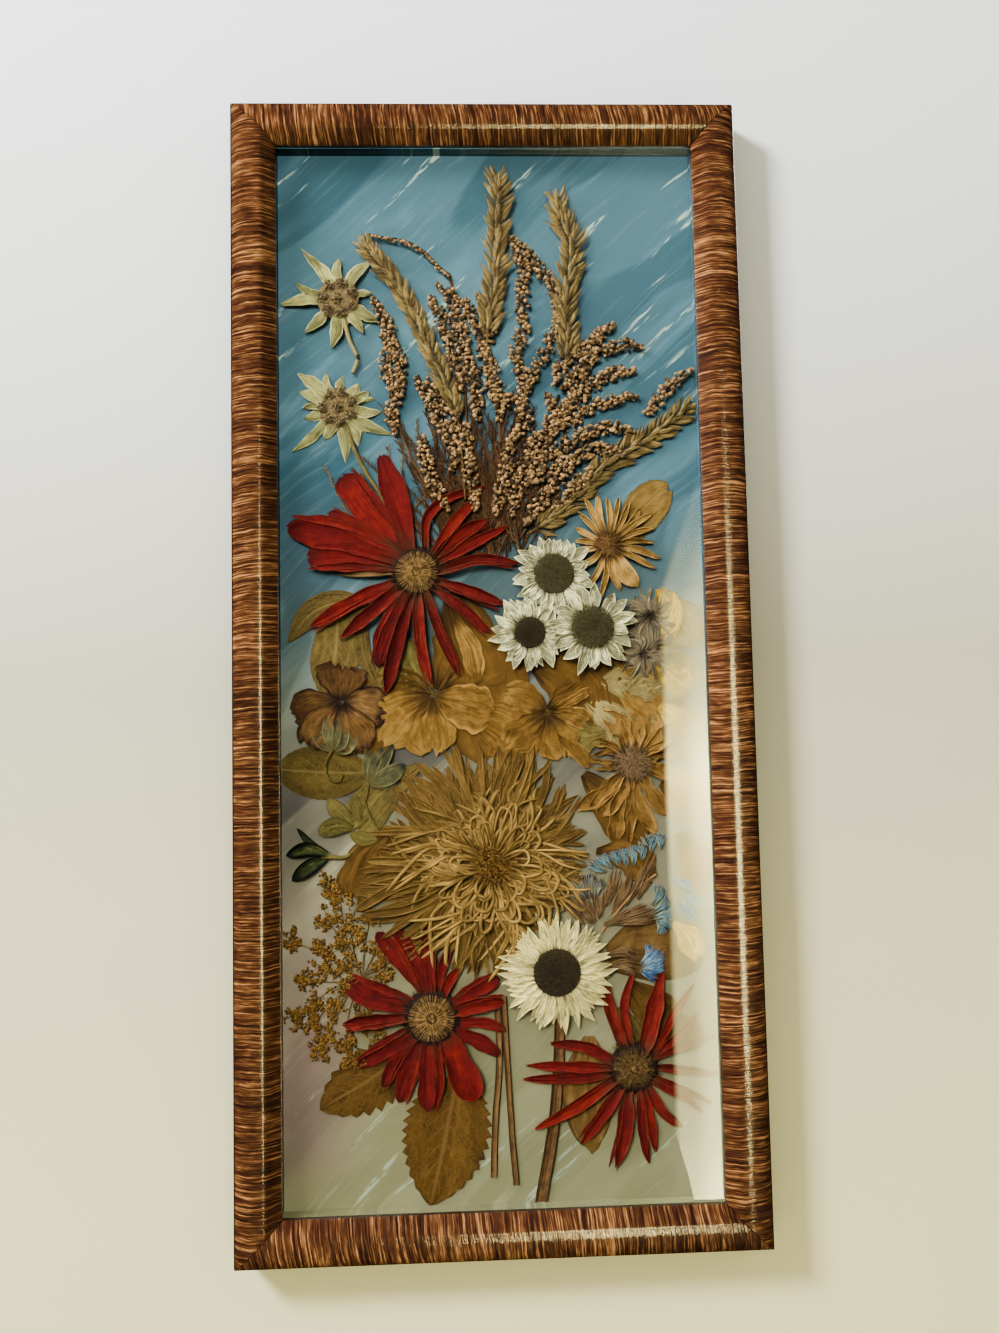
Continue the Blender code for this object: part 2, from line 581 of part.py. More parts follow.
def build_seed_sprays():
    """Branches of bead-like seeds. Their bare stems come together above the large flowers."""
    seeds = material("brown_seeds", (0.30, 0.19, 0.12), 0.8)
    stems = {
        "seed_spray_arch": ([(-49, -16), (-40, -17), (-32, -18.5), (-24, -22), (-19, -27), (-15, -33),
                             (-12, -40), (-10, -48), (-8, -60), (-8, -80), (-7, -104), (-6, -124),
                             (-5, -144)], 90),
        "seed_spray_left": ([(-45, -41), (-43, -51), (-41, -63), (-39, -73), (-38, -86), (-35, -98),
                             (-31, -108), (-26, -118), (-19, -130), (-14, -140)], 50),
        "seed_spray_inner_left": ([(-27, -78), (-23, -88), (-18, -100), (-14, -114), (-11, -130),
                                   (-10, -142)], 30),
        "seed_spray_tall": ([(0, -58), (1, -68), (0.5, -78), (1, -92), (0, -112), (-1, -132),
                             (-1, -146)], 34),
        "seed_spray_centre": ([(11, -18), (14, -25), (17, -33), (17, -45), (15, -62), (11, -76),
                               (10.5, -90), (7, -106), (4, -124), (3, -142)], 70),
        "seed_spray_right": ([(48, -56), (41, -64), (35, -73), (28, -82), (23, -94), (18, -106), (12, -120),
                              (7, -134), (7, -144)], 58),
        "seed_spray_edge": ([(81, -72), (78, -76), (72, -81), (66, -86), (61, -90)], 24),
    }
    made = {
        name: slab(name, sprig_outline(points, head, **BRANCH), depth_of(0), SPRAY_THICK, seeds)
        for name, (points, head) in stems.items()
    }
    forks = (
        ("seed_spray_centre", [(29, -58), (26, -50), (26, -43), (22, -36), (17, -33)], 30),
        ("seed_spray_right", [(60, -63), (52, -68), (44, -74), (35, -78), (28, -82)], 34),
        ("seed_spray_right", [(57, -82), (47, -83), (38, -90), (29, -98), (20, -102)], 36),
        ("seed_spray_right", [(52, -103), (42, -100), (33, -106), (23, -113), (14, -116)], 30),
        ("seed_spray_left", [(-35, -62), (-37, -72), (-38.5, -82)], 14),
    )
    for i, (name, points, head) in enumerate(forks):
        outline = sprig_outline(points, head, **BRANCH)
        seam = SEAM + i * STAGGER
        fork = slab(f"{name}_fork_{i}", outline, depth_of(0) + seam, SPRAY_THICK - 2 * seam, seeds)
        combine(made[name], fork)


def build_leaves():
    olive = material("olive_leaf", OLIVE, 0.8)
    tan = material("tan_leaf", (0.36, 0.22, 0.05), 0.8)
    leaves = (
        ("leaf_upper_left", olive, 0, 0, [(-80, -179), (-78, -171), (-74, -164), (-68, -160), (-60, -159),
                                          (-53, -161), (-56, -168), (-63, -174), (-72, -178)]),
        ("leaf_under_daisy", olive, 0, 0, [(-71, -185), (-67, -182), (-62, -178.5), (-55, -178.5),
                                           (-54, -183), (-56, -188), (-61, -191), (-67, -195),
                                           (-71, -193)]),
        ("oval_leaf", olive, 1, 0.6, [(-81, -228), (-78, -222.5), (-70, -220), (-60, -221.5), (-54, -226),
                                      (-52, -232), (-56, -237.5), (-65, -239.5), (-74, -238.5),
                                      (-79.5, -234)]),
        ("tan_leaf", tan, 1, 0.8, [(52, -125), (59, -119.5), (70, -119), (70, -123), (65, -126), (66, -132),
                                   (65, -138), (57, -136), (52, -131)]),
        ("golden_leaf_right", tan, 0, 0, [(43, -298), (46, -292), (56, -289), (70, -290.5), (79, -295),
                                          (79, -305), (72, -311), (61, -313), (50, -308.5), (44, -304)]),
        ("golden_leaf_low", tan, 0, 0, [(25, -342), (31, -333), (38, -329.5), (43, -334), (44, -345),
                                        (44, -358), (43, -373), (37, -369), (29, -361), (24.5, -354)]),
        ("small_serrated_leaf", tan, 1, 1.2, [(-69, -356), (-66, -347), (-61, -341), (-53, -338),
                                              (-44, -339), (-40.5, -343), (-42, -349), (-47, -353.5),
                                              (-57, -356.5)]),
        ("large_serrated_leaf", tan, 1, 1.2, [(-38, -359), (-32, -350), (-24, -346), (-13, -349),
                                              (-7, -357), (-6.5, -369), (-11, -381), (-20, -389),
                                              (-27, -392), (-34, -384), (-38, -371)]),
    )
    for name, finish, teeth, bite, points in leaves:
        slab(name, leaf_outline(points, teeth, bite), depth_of(0), LEAF_THICK, finish)
    grey = material("grey_flower", (0.26, 0.20, 0.15), 0.9)
    tuft = [(53, -167), (58, -160), (66, -159.5), (74, -165), (74.5, -173), (71, -181), (68, -188),
            (59, -190.5), (55, -184), (56, -175)]
    slab("grey_dried_flower", leaf_outline(tuft, 1, 1.4), depth_of(0), SPRAY_THICK, grey)


def build_stems():
    """The bare stems that show below the flowers: a forked thin one and a thick one."""
    wood = material("stem_brown", (0.22, 0.13, 0.07), 0.8)
    left = [(1.5, -314), (0, -329), (-1, -351), (-4, -383)]
    thin = slab("forked_stem", stem_outline(left, 1.2), depth_of(0), LEAF_THICK, wood)
    right = [(1.8, -316), (2.8, -340), (3.2, -362), (4.2, -386)]
    combine(thin, stem_slab("forked_stem_right", right, 1.2, 0, wood))
    thick = [(21.5, -317), (20.5, -334), (19, -352), (17, -372), (14.5, -392)]
    slab("thick_stem", stem_outline(thick, 2.2), depth_of(0), LEAF_THICK, wood)


def build():
    clear_scene()
    build_rails(material("combed_wood", (0.20, 0.06, 0.02), 0.3))
    build_stack()
    build_hanger()
    build_red_daisies()
    build_everlastings()
    build_straw_and_brown_flowers()
    build_edelweiss()
    build_chrysanthemum()
    build_broad_flowers()
    build_larkspurs()
    build_cornflowers()
    build_umbel()
    build_grass_ears()
    build_seed_sprays()
    build_leaves()
    build_stems()


build()
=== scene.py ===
"""The looks of a pressed flower picture: dried flowers, grasses and leaves on a painted board, glazed.

Lengths in the tables are millimetres. X runs right and Z up, and a depth is measured out from the wall,
so the point (x, z) at a depth d lies at (x, -d, z). Angles of petals are degrees, turning left from +X.
"""

import random
from math import copysign, cos, dist, exp, pi, radians, sin, sqrt, tau

import bmesh
import bpy
from bmesh.types import BMEdge, BMFace, BMVert
from mathutils import Matrix, Vector, noise

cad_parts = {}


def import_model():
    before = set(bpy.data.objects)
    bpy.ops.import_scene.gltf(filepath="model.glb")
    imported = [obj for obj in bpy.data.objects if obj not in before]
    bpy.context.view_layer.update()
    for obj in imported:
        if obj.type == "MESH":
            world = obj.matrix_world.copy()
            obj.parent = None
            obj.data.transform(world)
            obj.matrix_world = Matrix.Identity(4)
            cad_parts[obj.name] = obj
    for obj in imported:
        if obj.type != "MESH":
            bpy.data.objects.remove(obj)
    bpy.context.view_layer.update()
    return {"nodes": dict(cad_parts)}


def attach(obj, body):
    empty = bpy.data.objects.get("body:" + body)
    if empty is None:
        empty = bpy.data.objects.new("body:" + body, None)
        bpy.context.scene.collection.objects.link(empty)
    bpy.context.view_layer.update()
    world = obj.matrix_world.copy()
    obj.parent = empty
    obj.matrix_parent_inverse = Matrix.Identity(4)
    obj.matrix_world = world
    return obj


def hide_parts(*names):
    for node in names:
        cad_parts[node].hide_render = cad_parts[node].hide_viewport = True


MM = 0.001
TOP = 34.0  # of the frame, above the hanger's notch
WIDTH = 200.0
HEIGHT = 444.0
MIDDLE = TOP - HEIGHT / 2
BOARD = 5.2  # depth of the painted board's face
GLASS = 11.2  # depth of the glass's inner face
REST = BOARD + 0.17  # the lowest that a petal lies
# The space between the spacers, less a little
INSIDE_HALF, INSIDE_TOP, INSIDE_FOOT = 82.5, 16.5, -392.5
CEILING = GLASS - 0.25  # the highest that a petal reaches

RAILS = ("rail_top", "rail_bottom", "stile_left", "stile_right")
SPACERS = ("spacer_top", "spacer_bottom", "spacer_left", "spacer_right")
INNER_POWER = 48.0  # of the light on what lies under the glass
UNDER_GLASS = []  # the objects that it falls on

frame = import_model()


def corners(made):
    """The corners among the things that an operator made."""
    return [item for item in made["geom"] if isinstance(item, BMVert)]


def added(name, data):
    """A new object in the scene."""
    made = bpy.data.objects.new(name, data)
    bpy.context.scene.collection.objects.link(made)
    return made


def as_mesh(name, bm):
    made = bpy.data.meshes.new(name)
    bm.to_mesh(made)
    bm.free()
    return made


# ---- Camera, stage and light ----

def set_camera():
    data = bpy.data.cameras.new("camera")
    data.sensor_fit = "VERTICAL"
    data.sensor_height = 36.0
    data.lens = 29.28
    camera = added("camera", data)
    camera.location = (-0.0148, -0.428, -0.2194)
    camera.rotation_euler = [radians(turn) for turn in (94.016, 1.178, -2.212)]
    bpy.context.scene.camera = camera


def area_light(name, place, aim, size, power, colour):
    data = bpy.data.lights.new(name, "AREA")
    data.shape = "RECTANGLE"
    data.size, data.size_y = size
    data.energy = power
    data.color = colour
    light = added(name, data)
    light.location = place
    light.rotation_euler = (Vector(aim) - Vector(place)).to_track_quat("-Z", "Y").to_euler()
    return light


class Recipe:
    """Adds nodes to one tree. An input is given a number, a colour or another node's socket."""

    def __init__(self, tree):
        self.tree = tree

    def feed(self, socket, value):
        if isinstance(value, bpy.types.NodeSocket):
            self.tree.links.new(value, socket)
        elif socket.type == "RGBA" and len(value) == 3:
            socket.default_value = (*value, 1.0)
        else:
            socket.default_value = value

    def node(self, kind, inputs=(), **settings):
        made = self.tree.nodes.new("ShaderNode" + kind)
        for name, value in settings.items():
            setattr(made, name, value)
        for key, value in dict(inputs).items():
            self.feed(made.inputs[key], value)
        return made

    def point(self):
        return self.node("TexCoord").outputs["Object"]

    def uv(self):
        return self.node("UVMap", uv_map="sheet").outputs["UV"]

    def tone(self):
        return self.node("Attribute", attribute_name="tone").outputs["Fac"]

    def parts(self, vector):
        return self.node("SeparateXYZ", {"Vector": vector}).outputs

    def placed(self, vector, scale=(1, 1, 1), turn=(0, 0, 0), move=(0, 0, 0)):
        turn = [radians(angle) for angle in turn]
        values = {"Vector": vector, "Scale": scale, "Rotation": turn, "Location": move}
        return self.node("Mapping", values).outputs["Vector"]

    def math(self, operation, a, b=0.0, c=0.0):
        made = self.node("Math", operation=operation)
        for socket, value in zip(made.inputs, (a, b, c)):
            self.feed(socket, value)
        return made.outputs["Value"]

    def times(self, a, b):
        return self.math("MULTIPLY", a, b)

    def less(self, a, b):
        return self.math("SUBTRACT", a, b)

    def fit(self, a, b, c):
        """a times b, plus c."""
        return self.math("MULTIPLY_ADD", a, b, c)

    def noise(self, vector, scale=1.0, detail=3.0, rough=0.5, warp=0.0, move=(0, 0, 0)):
        """The scale is a number, or three for the axes, with a move."""
        if isinstance(scale, tuple):
            vector, scale = self.placed(vector, scale, move=move), 1.0
        values = {"Vector": vector, "Scale": scale, "Detail": detail, "Roughness": rough, "Distortion": warp}
        return self.node("TexNoise", values).outputs["Fac"]

    def cells(self, vector, scale=1.0, feature="F1", output="Distance"):
        values = {"Vector": vector, "Scale": scale}
        return self.node("TexVoronoi", values, feature=feature).outputs[output]

    def ramp(self, value, stops):
        made = self.node("ValToRGB", {"Fac": value})
        line = made.color_ramp
        while len(line.elements) < len(stops):
            line.elements.new(1.0)
        for element, (place, colour) in zip(line.elements, stops):
            element.position = place
            element.color = (*colour, 1.0)
        return made.outputs["Color"]

    def grey_ramp(self, value, stops):
        return self.ramp(value, [(place, (level, level, level)) for place, level in stops])

    def band(self, value, low, high, start=0.0, end=1.0):
        values = {"Value": value, "From Min": low, "From Max": high, "To Min": start, "To Max": end}
        made = self.node("MapRange", values, interpolation_type="SMOOTHSTEP")
        return made.outputs["Result"]

    def mix(self, share, a, b, blend="MIX"):
        made = self.node("Mix", data_type="RGBA", blend_type=blend)
        for socket, value in ((made.inputs[0], share), (made.inputs[6], a), (made.inputs[7], b)):
            self.feed(socket, value)
        return made.outputs[2]

    def bump(self, height, strength=0.5, distance=0.2):
        values = {"Height": height, "Strength": strength, "Distance": distance * MM}
        return self.node("Bump", values).outputs["Normal"]

    def effect(self, group, inputs):
        made = self.node("Group", node_tree=group)
        for key, value in inputs.items():
            self.feed(made.inputs[key], value)
        return made.outputs

    def principled(self, **values):
        """The material's shader. Underscores in a name stand for the socket's spaces."""
        shader = self.tree.nodes["Principled BSDF"]
        for name, value in values.items():
            self.feed(shader.inputs[name.replace("_", " ")], value)
        return shader

    def surface(self, shader):
        self.tree.links.new(shader.outputs[0], self.tree.nodes["Material Output"].inputs[0])


def new_material(name):
    made = bpy.data.materials.new(name)
    made.use_nodes = True
    return made, Recipe(made.node_tree)


def paint(red, green, blue):
    """The base colour of a thing that is seen as these values, of 0 to 255, in this light."""
    seen = [((value / 255 + 0.055) / 1.055) ** 2.4 for value in (red, green, blue)]
    base = [(0.33 * value + 0.005) / (1 - 0.9 * value ** 1.75) for value in seen]
    grey = sum(base) / 3
    return tuple(min(0.85, value + 0.06 * (grey - value)) for value in base)


def wall_plaster():
    """Pale matt paint, with painted light and shade down it. From behind, the wall is clear, so that the back
    of the picture can be seen.
    """
    made, r = new_material("wall_plaster")
    shade = r.noise(r.point(), 2.0, 2.0)
    # Painted light and shade: paler and bluer at the top, darker and warmer at the picture's middle height,
    # yellower at the foot
    drop = r.band(r.fit(shade, 0.1, r.parts(r.point())["Z"]), 0.18, -0.44)
    colour = r.ramp(drop, ((0.0, (0.69, 0.72, 0.76)), (0.5, (0.47, 0.455, 0.36)), (1.0, (0.66, 0.63, 0.38))))
    grain = r.noise(r.point(), 900.0, 3.0)
    shader = r.principled(Base_Color=colour, Roughness=0.9, Normal=r.bump(grain, 0.08))
    clear = r.node("BsdfTransparent").outputs[0]
    behind = r.node("NewGeometry").outputs["Backfacing"]
    joined = r.node("MixShader", {0: behind, 1: shader.outputs[0], 2: clear})
    r.surface(joined)
    return made


def build_stage():
    """A wall that curves forward into a floor, in one sweep."""
    top, corner, floor, front, half = 1.6, 0.3, -1.0, -2.4, 2.2
    profile = [(0.0006, top)]
    for step in range(9):
        angle = radians(90 * step / 8)
        profile.append((0.0006 - corner * (1 - cos(angle)), floor + corner * (1 - sin(angle))))
    profile.append((front, floor))
    bm = bmesh.new()
    line = [bm.verts.new((-half, y, z)) for y, z in profile]
    edges = [bm.edges.new(pair) for pair in zip(line, line[1:])]
    made = bmesh.ops.extrude_edge_only(bm, edges=edges)
    bmesh.ops.translate(bm, verts=corners(made), vec=(2 * half, 0, 0))
    bm.normal_update()
    if bm.faces[:][0].normal.y > 0:
        bmesh.ops.reverse_faces(bm, faces=bm.faces)
    mesh = as_mesh("wall", bm)
    mesh.materials.append(wall_plaster())
    wall = added("wall", mesh)
    return wall


def set_lights(wall):
    world = bpy.data.worlds.new("studio")
    world.use_nodes = True
    r = Recipe(world.node_tree)
    sky = world.node_tree.nodes["Background"]
    r.feed(sky.inputs["Color"], (1.0, 0.94, 0.82))
    # The room in front of the picture is dim, and it is all that the glass and the lacquer mirror. A ray
    # that the glass's back face mirrors leaves the glass as one that went through it, and no diffuse
    # bounce comes before it.
    path = r.node("LightPath").outputs
    unlit = r.math("LESS_THAN", path["Diffuse Depth"], 0.5)
    through = r.times(path["Is Transmission Ray"], unlit)
    mirrored = r.math("MAXIMUM", path["Is Glossy Ray"], through)
    r.feed(sky.inputs["Strength"], r.band(mirrored, 0.0, 1.0, 0.95, 0.02))
    bpy.context.scene.world = world
    bpy.context.scene.view_settings.look = "AgX - Medium High Contrast"
    centre, away = Vector((0, 0, MIDDLE * MM)), 1.5
    key = centre + away * Vector((-24, -20, 20)).normalized()
    key = area_light("key", key, centre, (0.3, 0.3), 50.0, (0.98, 0.985, 1.0))
    key.visible_glossy = False
    inner = centre + away * Vector((-9, -24, 10)).normalized()
    inner = area_light("inner_key", inner, centre, (0.5, 0.5), INNER_POWER, (1.0, 0.985, 0.96))
    inner.visible_glossy = False
    inner.visible_transmission = False
    wall.visible_glossy = False
    wall.visible_transmission = False
    back = area_light("back", (0.5, 1.3, 0.5), centre, (0.8, 0.8), 14.0, (1.0, 0.98, 0.95))
    passed = bpy.data.collections.new("passed_by_the_back_light")
    passed.objects.link(wall)
    back.light_linking.blocker_collection = passed
    passed.collection_objects[0].light_linking.link_state = "EXCLUDE"
    build_window()


def share_lights():
    """The low key rakes the frame and the wall, and the steeper inner key lights what is under the glass,
    past the rails."""
    inside = bpy.data.collections.new("under_glass")
    outside = bpy.data.collections.new("not_under_glass")
    for piece in UNDER_GLASS:
        inside.objects.link(piece)
        outside.objects.link(piece)
    for entry in outside.collection_objects:
        entry.light_linking.link_state = "EXCLUDE"
    inner = bpy.data.objects["inner_key"].light_linking
    inner.receiver_collection = inside
    inner.blocker_collection = bpy.data.collections.new("passed_by_the_inner_key")
    for name in RAILS:
        inner.blocker_collection.objects.link(bpy.data.objects[name + "_looks"])
    for name in SPACERS:
        inner.blocker_collection.objects.link(frame["nodes"][name])
    for entry in inner.blocker_collection.collection_objects:
        entry.light_linking.link_state = "EXCLUDE"
    bpy.data.objects["key"].light_linking.receiver_collection = outside


def build_window():
    """The pale window that the glass mirrors along its right side. It shows in gloss only."""
    left, top, low, away = 0.288, 0.2, -0.96, -1.2
    bm = bmesh.new()
    for x, z in (
        (left, top), (left, -0.78), (0.305, -0.84), (0.318, -0.896), (0.35, -0.94), (0.376, low), (1.6, low),
        (1.6, top),
    ):
        bm.verts.new((x, away, z))
    bmesh.ops.contextual_create(bm, geom=bm.verts)
    mesh = as_mesh("window", bm)
    mesh.materials.append(window_glow(left, top, low))
    window = added("window", mesh)
    for ray in ("camera", "diffuse", "transmission", "volume_scatter", "shadow"):
        setattr(window, "visible_" + ray, False)


def window_glow(left, top, low):
    """A bright pane with a dim one above it, whose side slants. The lacquer mirrors only a strip of it."""
    made, r = new_material("window_glow")
    parts = r.parts(r.point())
    down = r.math("DIVIDE", r.less(top, parts["Z"]), top - low)
    in_glass = r.grey_ramp(down, (
        (0.0, 0.0), (0.06, 0.05), (0.150, 0.13), (0.166, 0.14), (0.182, 0.21), (0.233, 0.22), (0.32, 0.42),
        (0.40, 0.85), (0.50, 0.52), (0.60, 0.33), (0.86, 0.35), (1.0, 0.85),
    ))
    in_lacquer = r.grey_ramp(down, (
        (0.0, 0.05), (0.13, 0.2), (0.2, 1.1), (0.48, 1.3), (0.51, 0.3), (0.57, 0.35), (0.6, 1.3), (1.0, 1.3),
    ))
    in_lacquer = r.times(in_lacquer, r.band(parts["X"], left + 0.17, left + 0.09))
    bright = r.mix(r.node("LightPath").outputs["Is Singular Ray"], in_lacquer, in_glass)
    slant = r.fit(r.math("MAXIMUM", parts["Z"], 0.0), -0.36, parts["X"])
    edge = r.times(r.band(slant, left, left + 0.012), r.band(slant, left + 0.026, left + 0.064, 0.5, 1.0))
    level = r.times(r.times(bright, edge), 66.0)
    glow = r.node("Emission", {"Color": (1.0, 0.92, 0.45), "Strength": level})
    r.surface(glow)
    return made


# ---- The frame ----

def combed_wood(name, along):
    """Lacquer over a combed grain: thin tan lines across each rail on a red-brown ground."""
    made, r = new_material(name)
    x, y, z = (r.parts(r.point())[axis] for axis in "XYZ")
    run, cross = (z, x) if along == "Z" else (x, z)
    # The lines lean a little, more so on the outer slope of each rail
    lean = r.times(cross, -0.05 if along == "Z" else 0.12)
    place = r.math("ADD", run, lean)
    flat = r.node("CombineXYZ", {"X": place, "Y": cross, "Z": y}).outputs[0]
    sway = r.noise(flat, (30, 60, 40), 2.0)
    wobble = r.noise(flat, (300, 200, 120), 2.0, move=(5, 0, 0))
    swayed = r.math("ADD", place, r.times(sway, 0.0022))
    swayed = r.math("ADD", swayed, r.times(wobble, 0.0008))
    combed = r.node("CombineXYZ", {"X": swayed, "Y": cross, "Z": y}).outputs[0]
    wide = r.noise(combed, (1800, 45, 30), 1.0, 0.5)
    fine = r.noise(combed, (3600, 110, 60), 2.0, 0.6, move=(2, 1, 0))
    broad = r.noise(flat, (50, 40, 16), 3.0, 0.6)
    broken = r.noise(combed, (900, 200, 200), 2.0, 0.5, move=(0, 4, 2))
    mixed = r.fit(wide, 0.5, r.times(fine, 0.34))
    mixed = r.fit(broad, 0.16, mixed)
    mixed = r.fit(r.less(broken, 0.5), 0.22, mixed)
    colour = r.ramp(mixed, ((0.38, paint(62, 22, 8)), (0.45, paint(98, 52, 22)), (0.51, paint(126, 76, 38)),
                    (0.57, paint(164, 118, 66)), (0.63, paint(208, 170, 116))))
    # The sides are stained nearly black. At the sight edge the near-black is also painted shade of the lip
    side = r.band(y, -0.0158, -0.0146)
    colour = r.mix(side, colour, (0.010, 0.004, 0.002))
    pits = r.noise(flat, (900, 500, 500), 2.0)
    height = r.fit(pits, 0.35, mixed)
    gloss = r.band(fine, 0.35, 0.7, 0.5, 0.38)
    r.principled(Base_Color=colour, Roughness=gloss, Specular_IOR_Level=0.1, Coat_Weight=0.9,
                 Coat_Roughness=0.09, Normal=r.bump(height, 0.4, 0.25), Coat_Normal=r.bump(height, 0.8, 0.25))
    return made


# The moulding's section: distance in from the outer edge, and depth
SECTION = (
    (0.0, 0.0), (0.0, 13.2), (0.25, 14.2), (0.9, 15.4), (2.0, 16.7), (3.6, 17.9), (5.6, 18.85), (8.0, 19.6),
    (10.2, 19.93), (11.8, 19.98), (12.8, 19.75), (13.6, 19.3), (15.0, 18.2), (16.6, 16.9), (17.6, 16.0),
    (17.95, 15.5), (18.0, 15.0), (18.0, 13.5), (12.0, 13.5), (12.0, 0.0),
)
MITRE_GAP = 0.12


def build_rails():
    """Four mitred rails. Each is a section carried along its rail between two mirrored ends."""
    stripes = {0: combed_wood("combed_rail", "X"), 90: combed_wood("combed_stile", "Z")}
    for name, length, across, turn in (
        ("rail_top", WIDTH, HEIGHT, 0), ("stile_left", HEIGHT, WIDTH, 90),
        ("rail_bottom", WIDTH, HEIGHT, 180), ("stile_right", HEIGHT, WIDTH, 270),
    ):
        bm = bmesh.new()
        ring = [bm.verts.new((-(length / 2 - u - MITRE_GAP), -depth, across / 2 - u)) for u, depth in SECTION]
        start = bm.faces.new(ring)
        made = bmesh.ops.extrude_face_region(bm, geom=[start])
        for vert in corners(made):
            vert.co.x = -vert.co.x
        bmesh.ops.recalc_face_normals(bm, faces=bm.faces)
        rim = [edge for edge in bm.edges if abs(edge.verts[0].co.x + edge.verts[1].co.x) > length / 2]
        rim = [edge for edge in rim if all(v.co.y < -13.6 for v in edge.verts)]
        bmesh.ops.bevel(bm, geom=rim, offset=0.18, affect="EDGES", segments=2, profile=0.5, material=-1)
        spin = Matrix.Rotation(-radians(turn), 4, "Y")
        bm.transform(Matrix.Scale(MM, 4) @ Matrix.Translation((0, 0, MIDDLE)) @ spin)
        dress(name, bm, [stripes[turn % 180]], sharp=35)


def dress(name, bm, finishes, nodes=None, sharp=None):
    """Makes a finished mesh the piece that stands for its node, or for the ones given."""
    mesh = as_mesh(name + "_looks", bm)
    for finish in finishes:
        mesh.materials.append(finish)
    mesh.shade_smooth()
    if sharp:
        mesh.set_sharp_from_angle(angle=radians(sharp))
    piece = added(name + "_looks", mesh)
    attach(piece, "root")
    nodes = [name] if nodes is None else nodes
    if nodes:
        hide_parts(*nodes)
    return piece


# ---- What lies in the rebate ----

def clear_glass():
    """Picture glass. Shadow rays pass it, so that light falls on the flowers as through real glass."""
    made, r = new_material("clear_glass")
    smear = r.noise(r.point(), (30, 30, 60), 4.0)
    tint = r.mix(r.band(smear, 0.5, 0.75), (0.97, 0.99, 0.98), (0.93, 0.95, 0.93))
    shader = r.principled(Base_Color=tint, Roughness=0.0, Transmission_Weight=1.0, IOR=1.5)
    clear = r.node("BsdfTransparent", {"Color": (0.95, 0.97, 0.96)}).outputs[0]
    shadow = r.node("LightPath").outputs["Is Shadow Ray"]
    joined = r.node("MixShader", {0: shadow, 1: shader.outputs[0], 2: clear})
    r.surface(joined)
    return made


def painted_board():
    """Thin paint brushed upwards to the right: sky blue, then lilac grey, then cream at the foot."""
    made, r = new_material("painted_board")
    point = r.point()
    parts = r.parts(point)
    x, z = parts["X"], parts["Z"]
    cloud = r.noise(point, (9, 9, 9))
    fall = r.math("ADD", z, r.times(r.less(cloud, 0.5), 0.10))
    ground = r.ramp(r.band(fall, -0.40, 0.02), (
        (0.0, paint(154, 150, 112)), (0.13, paint(146, 136, 104)), (0.26, paint(106, 96, 88)),
        (0.42, paint(104, 98, 92)), (0.56, paint(92, 108, 104)), (0.78, paint(66, 106, 120)),
        (1.0, paint(70, 106, 116)),
    ))
    off = r.math("ABSOLUTE", r.math("ADD", fall, 0.325))
    lilac = r.times(r.band(x, -0.045, -0.075), r.band(off, 0.07, 0.03))
    ground = r.mix(r.times(lilac, 0.7), ground, paint(158, 130, 122))
    # Brush strokes, 42 degrees from the floor: broad soft ones, finer threads and their pale rims
    brushed = r.placed(point, (1, 1, 1), (0, 42, 0))
    bent = r.noise(point, (16, 16, 16), 2.0)
    path = r.parts(brushed)
    stroke = r.node("CombineXYZ", {
        "X": path["X"], "Z": r.math("ADD", path["Z"], r.times(bent, 0.012)),
    }).outputs[0]
    broad = r.noise(stroke, (8, 1, 34), 3.0, 0.55)
    streak = r.noise(stroke, (12, 1, 110), 4.0, 0.6, move=(1, 0, 0))
    thread = r.noise(stroke, (18, 1, 520), 3.0, 0.6, move=(3, 0, 1))
    sky = r.band(z, -0.24, -0.13)
    pale = r.mix(sky, paint(186, 182, 152), paint(140, 172, 180))
    deep = r.mix(sky, paint(104, 94, 76), paint(46, 84, 100))
    across = r.band(r.fit(cloud, 0.06, x), -0.06, 0.12)
    ground = r.mix(r.times(across, 0.16), ground, pale)
    colour = r.mix(r.band(broad, 0.50, 0.68, 0.0, 0.34), ground, pale)
    colour = r.mix(r.band(streak, 0.58, 0.70, 0.0, 0.45), colour, pale)
    colour = r.mix(r.band(thread, 0.52, 0.78, 0.0, 0.14), colour, paint(186, 196, 188))
    sweep = r.noise(stroke, (5, 1, 22), 1.0, 0.4, move=(7, 0, 3))
    colour = r.mix(r.band(sweep, 0.50, 0.515, 0.0, 0.22), colour, pale)
    colour = r.mix(r.band(broad, 0.46, 0.30, 0.0, 0.3), colour, deep)
    # A few dabs of thick white, broken along the brush's way
    dabs = r.noise(stroke, (16, 1, 210), 3.0, 0.5, move=(0.4, 0, 2.2))
    high = r.math("MAXIMUM", r.band(z, -0.12, -0.04), r.band(z, -0.31, -0.35, 0.0, 0.5))
    broken = r.noise(brushed, (160, 1, 900))
    dab = r.times(r.band(dabs, 0.61, 0.66), r.times(high, r.band(broken, 0.42, 0.56)))
    colour = r.mix(r.times(dab, 0.8), colour, paint(200, 208, 196))
    speck = r.band(r.cells(r.placed(point, (1, 0.01, 1)), 130.0), 0.075, 0.045)
    low = r.band(z, -0.30, -0.36)
    colour = r.mix(r.times(speck, r.times(low, 0.7)), colour, (0.12, 0.10, 0.05))
    height = r.fit(dab, 1.5, r.fit(thread, 0.6, streak))
    r.principled(Base_Color=colour, Roughness=0.62, Specular_IOR_Level=0.0, Normal=r.bump(height, 0.35, 0.15))
    return made


def hardboard():
    made, r = new_material("hardboard")
    fibre = r.noise(r.point(), (700, 700, 700), 4.0, 0.7, 1.5)
    stain = r.noise(r.point(), (14, 14, 10))
    colour = r.ramp(fibre, ((0.3, (0.10, 0.052, 0.025)), (0.7, (0.22, 0.125, 0.065))))
    colour = r.mix(r.band(stain, 0.4, 0.75, 0.0, 0.45), colour, (0.09, 0.05, 0.03))
    r.principled(Base_Color=colour, Roughness=0.75, Normal=r.bump(fibre, 0.3, 0.1))
    return made


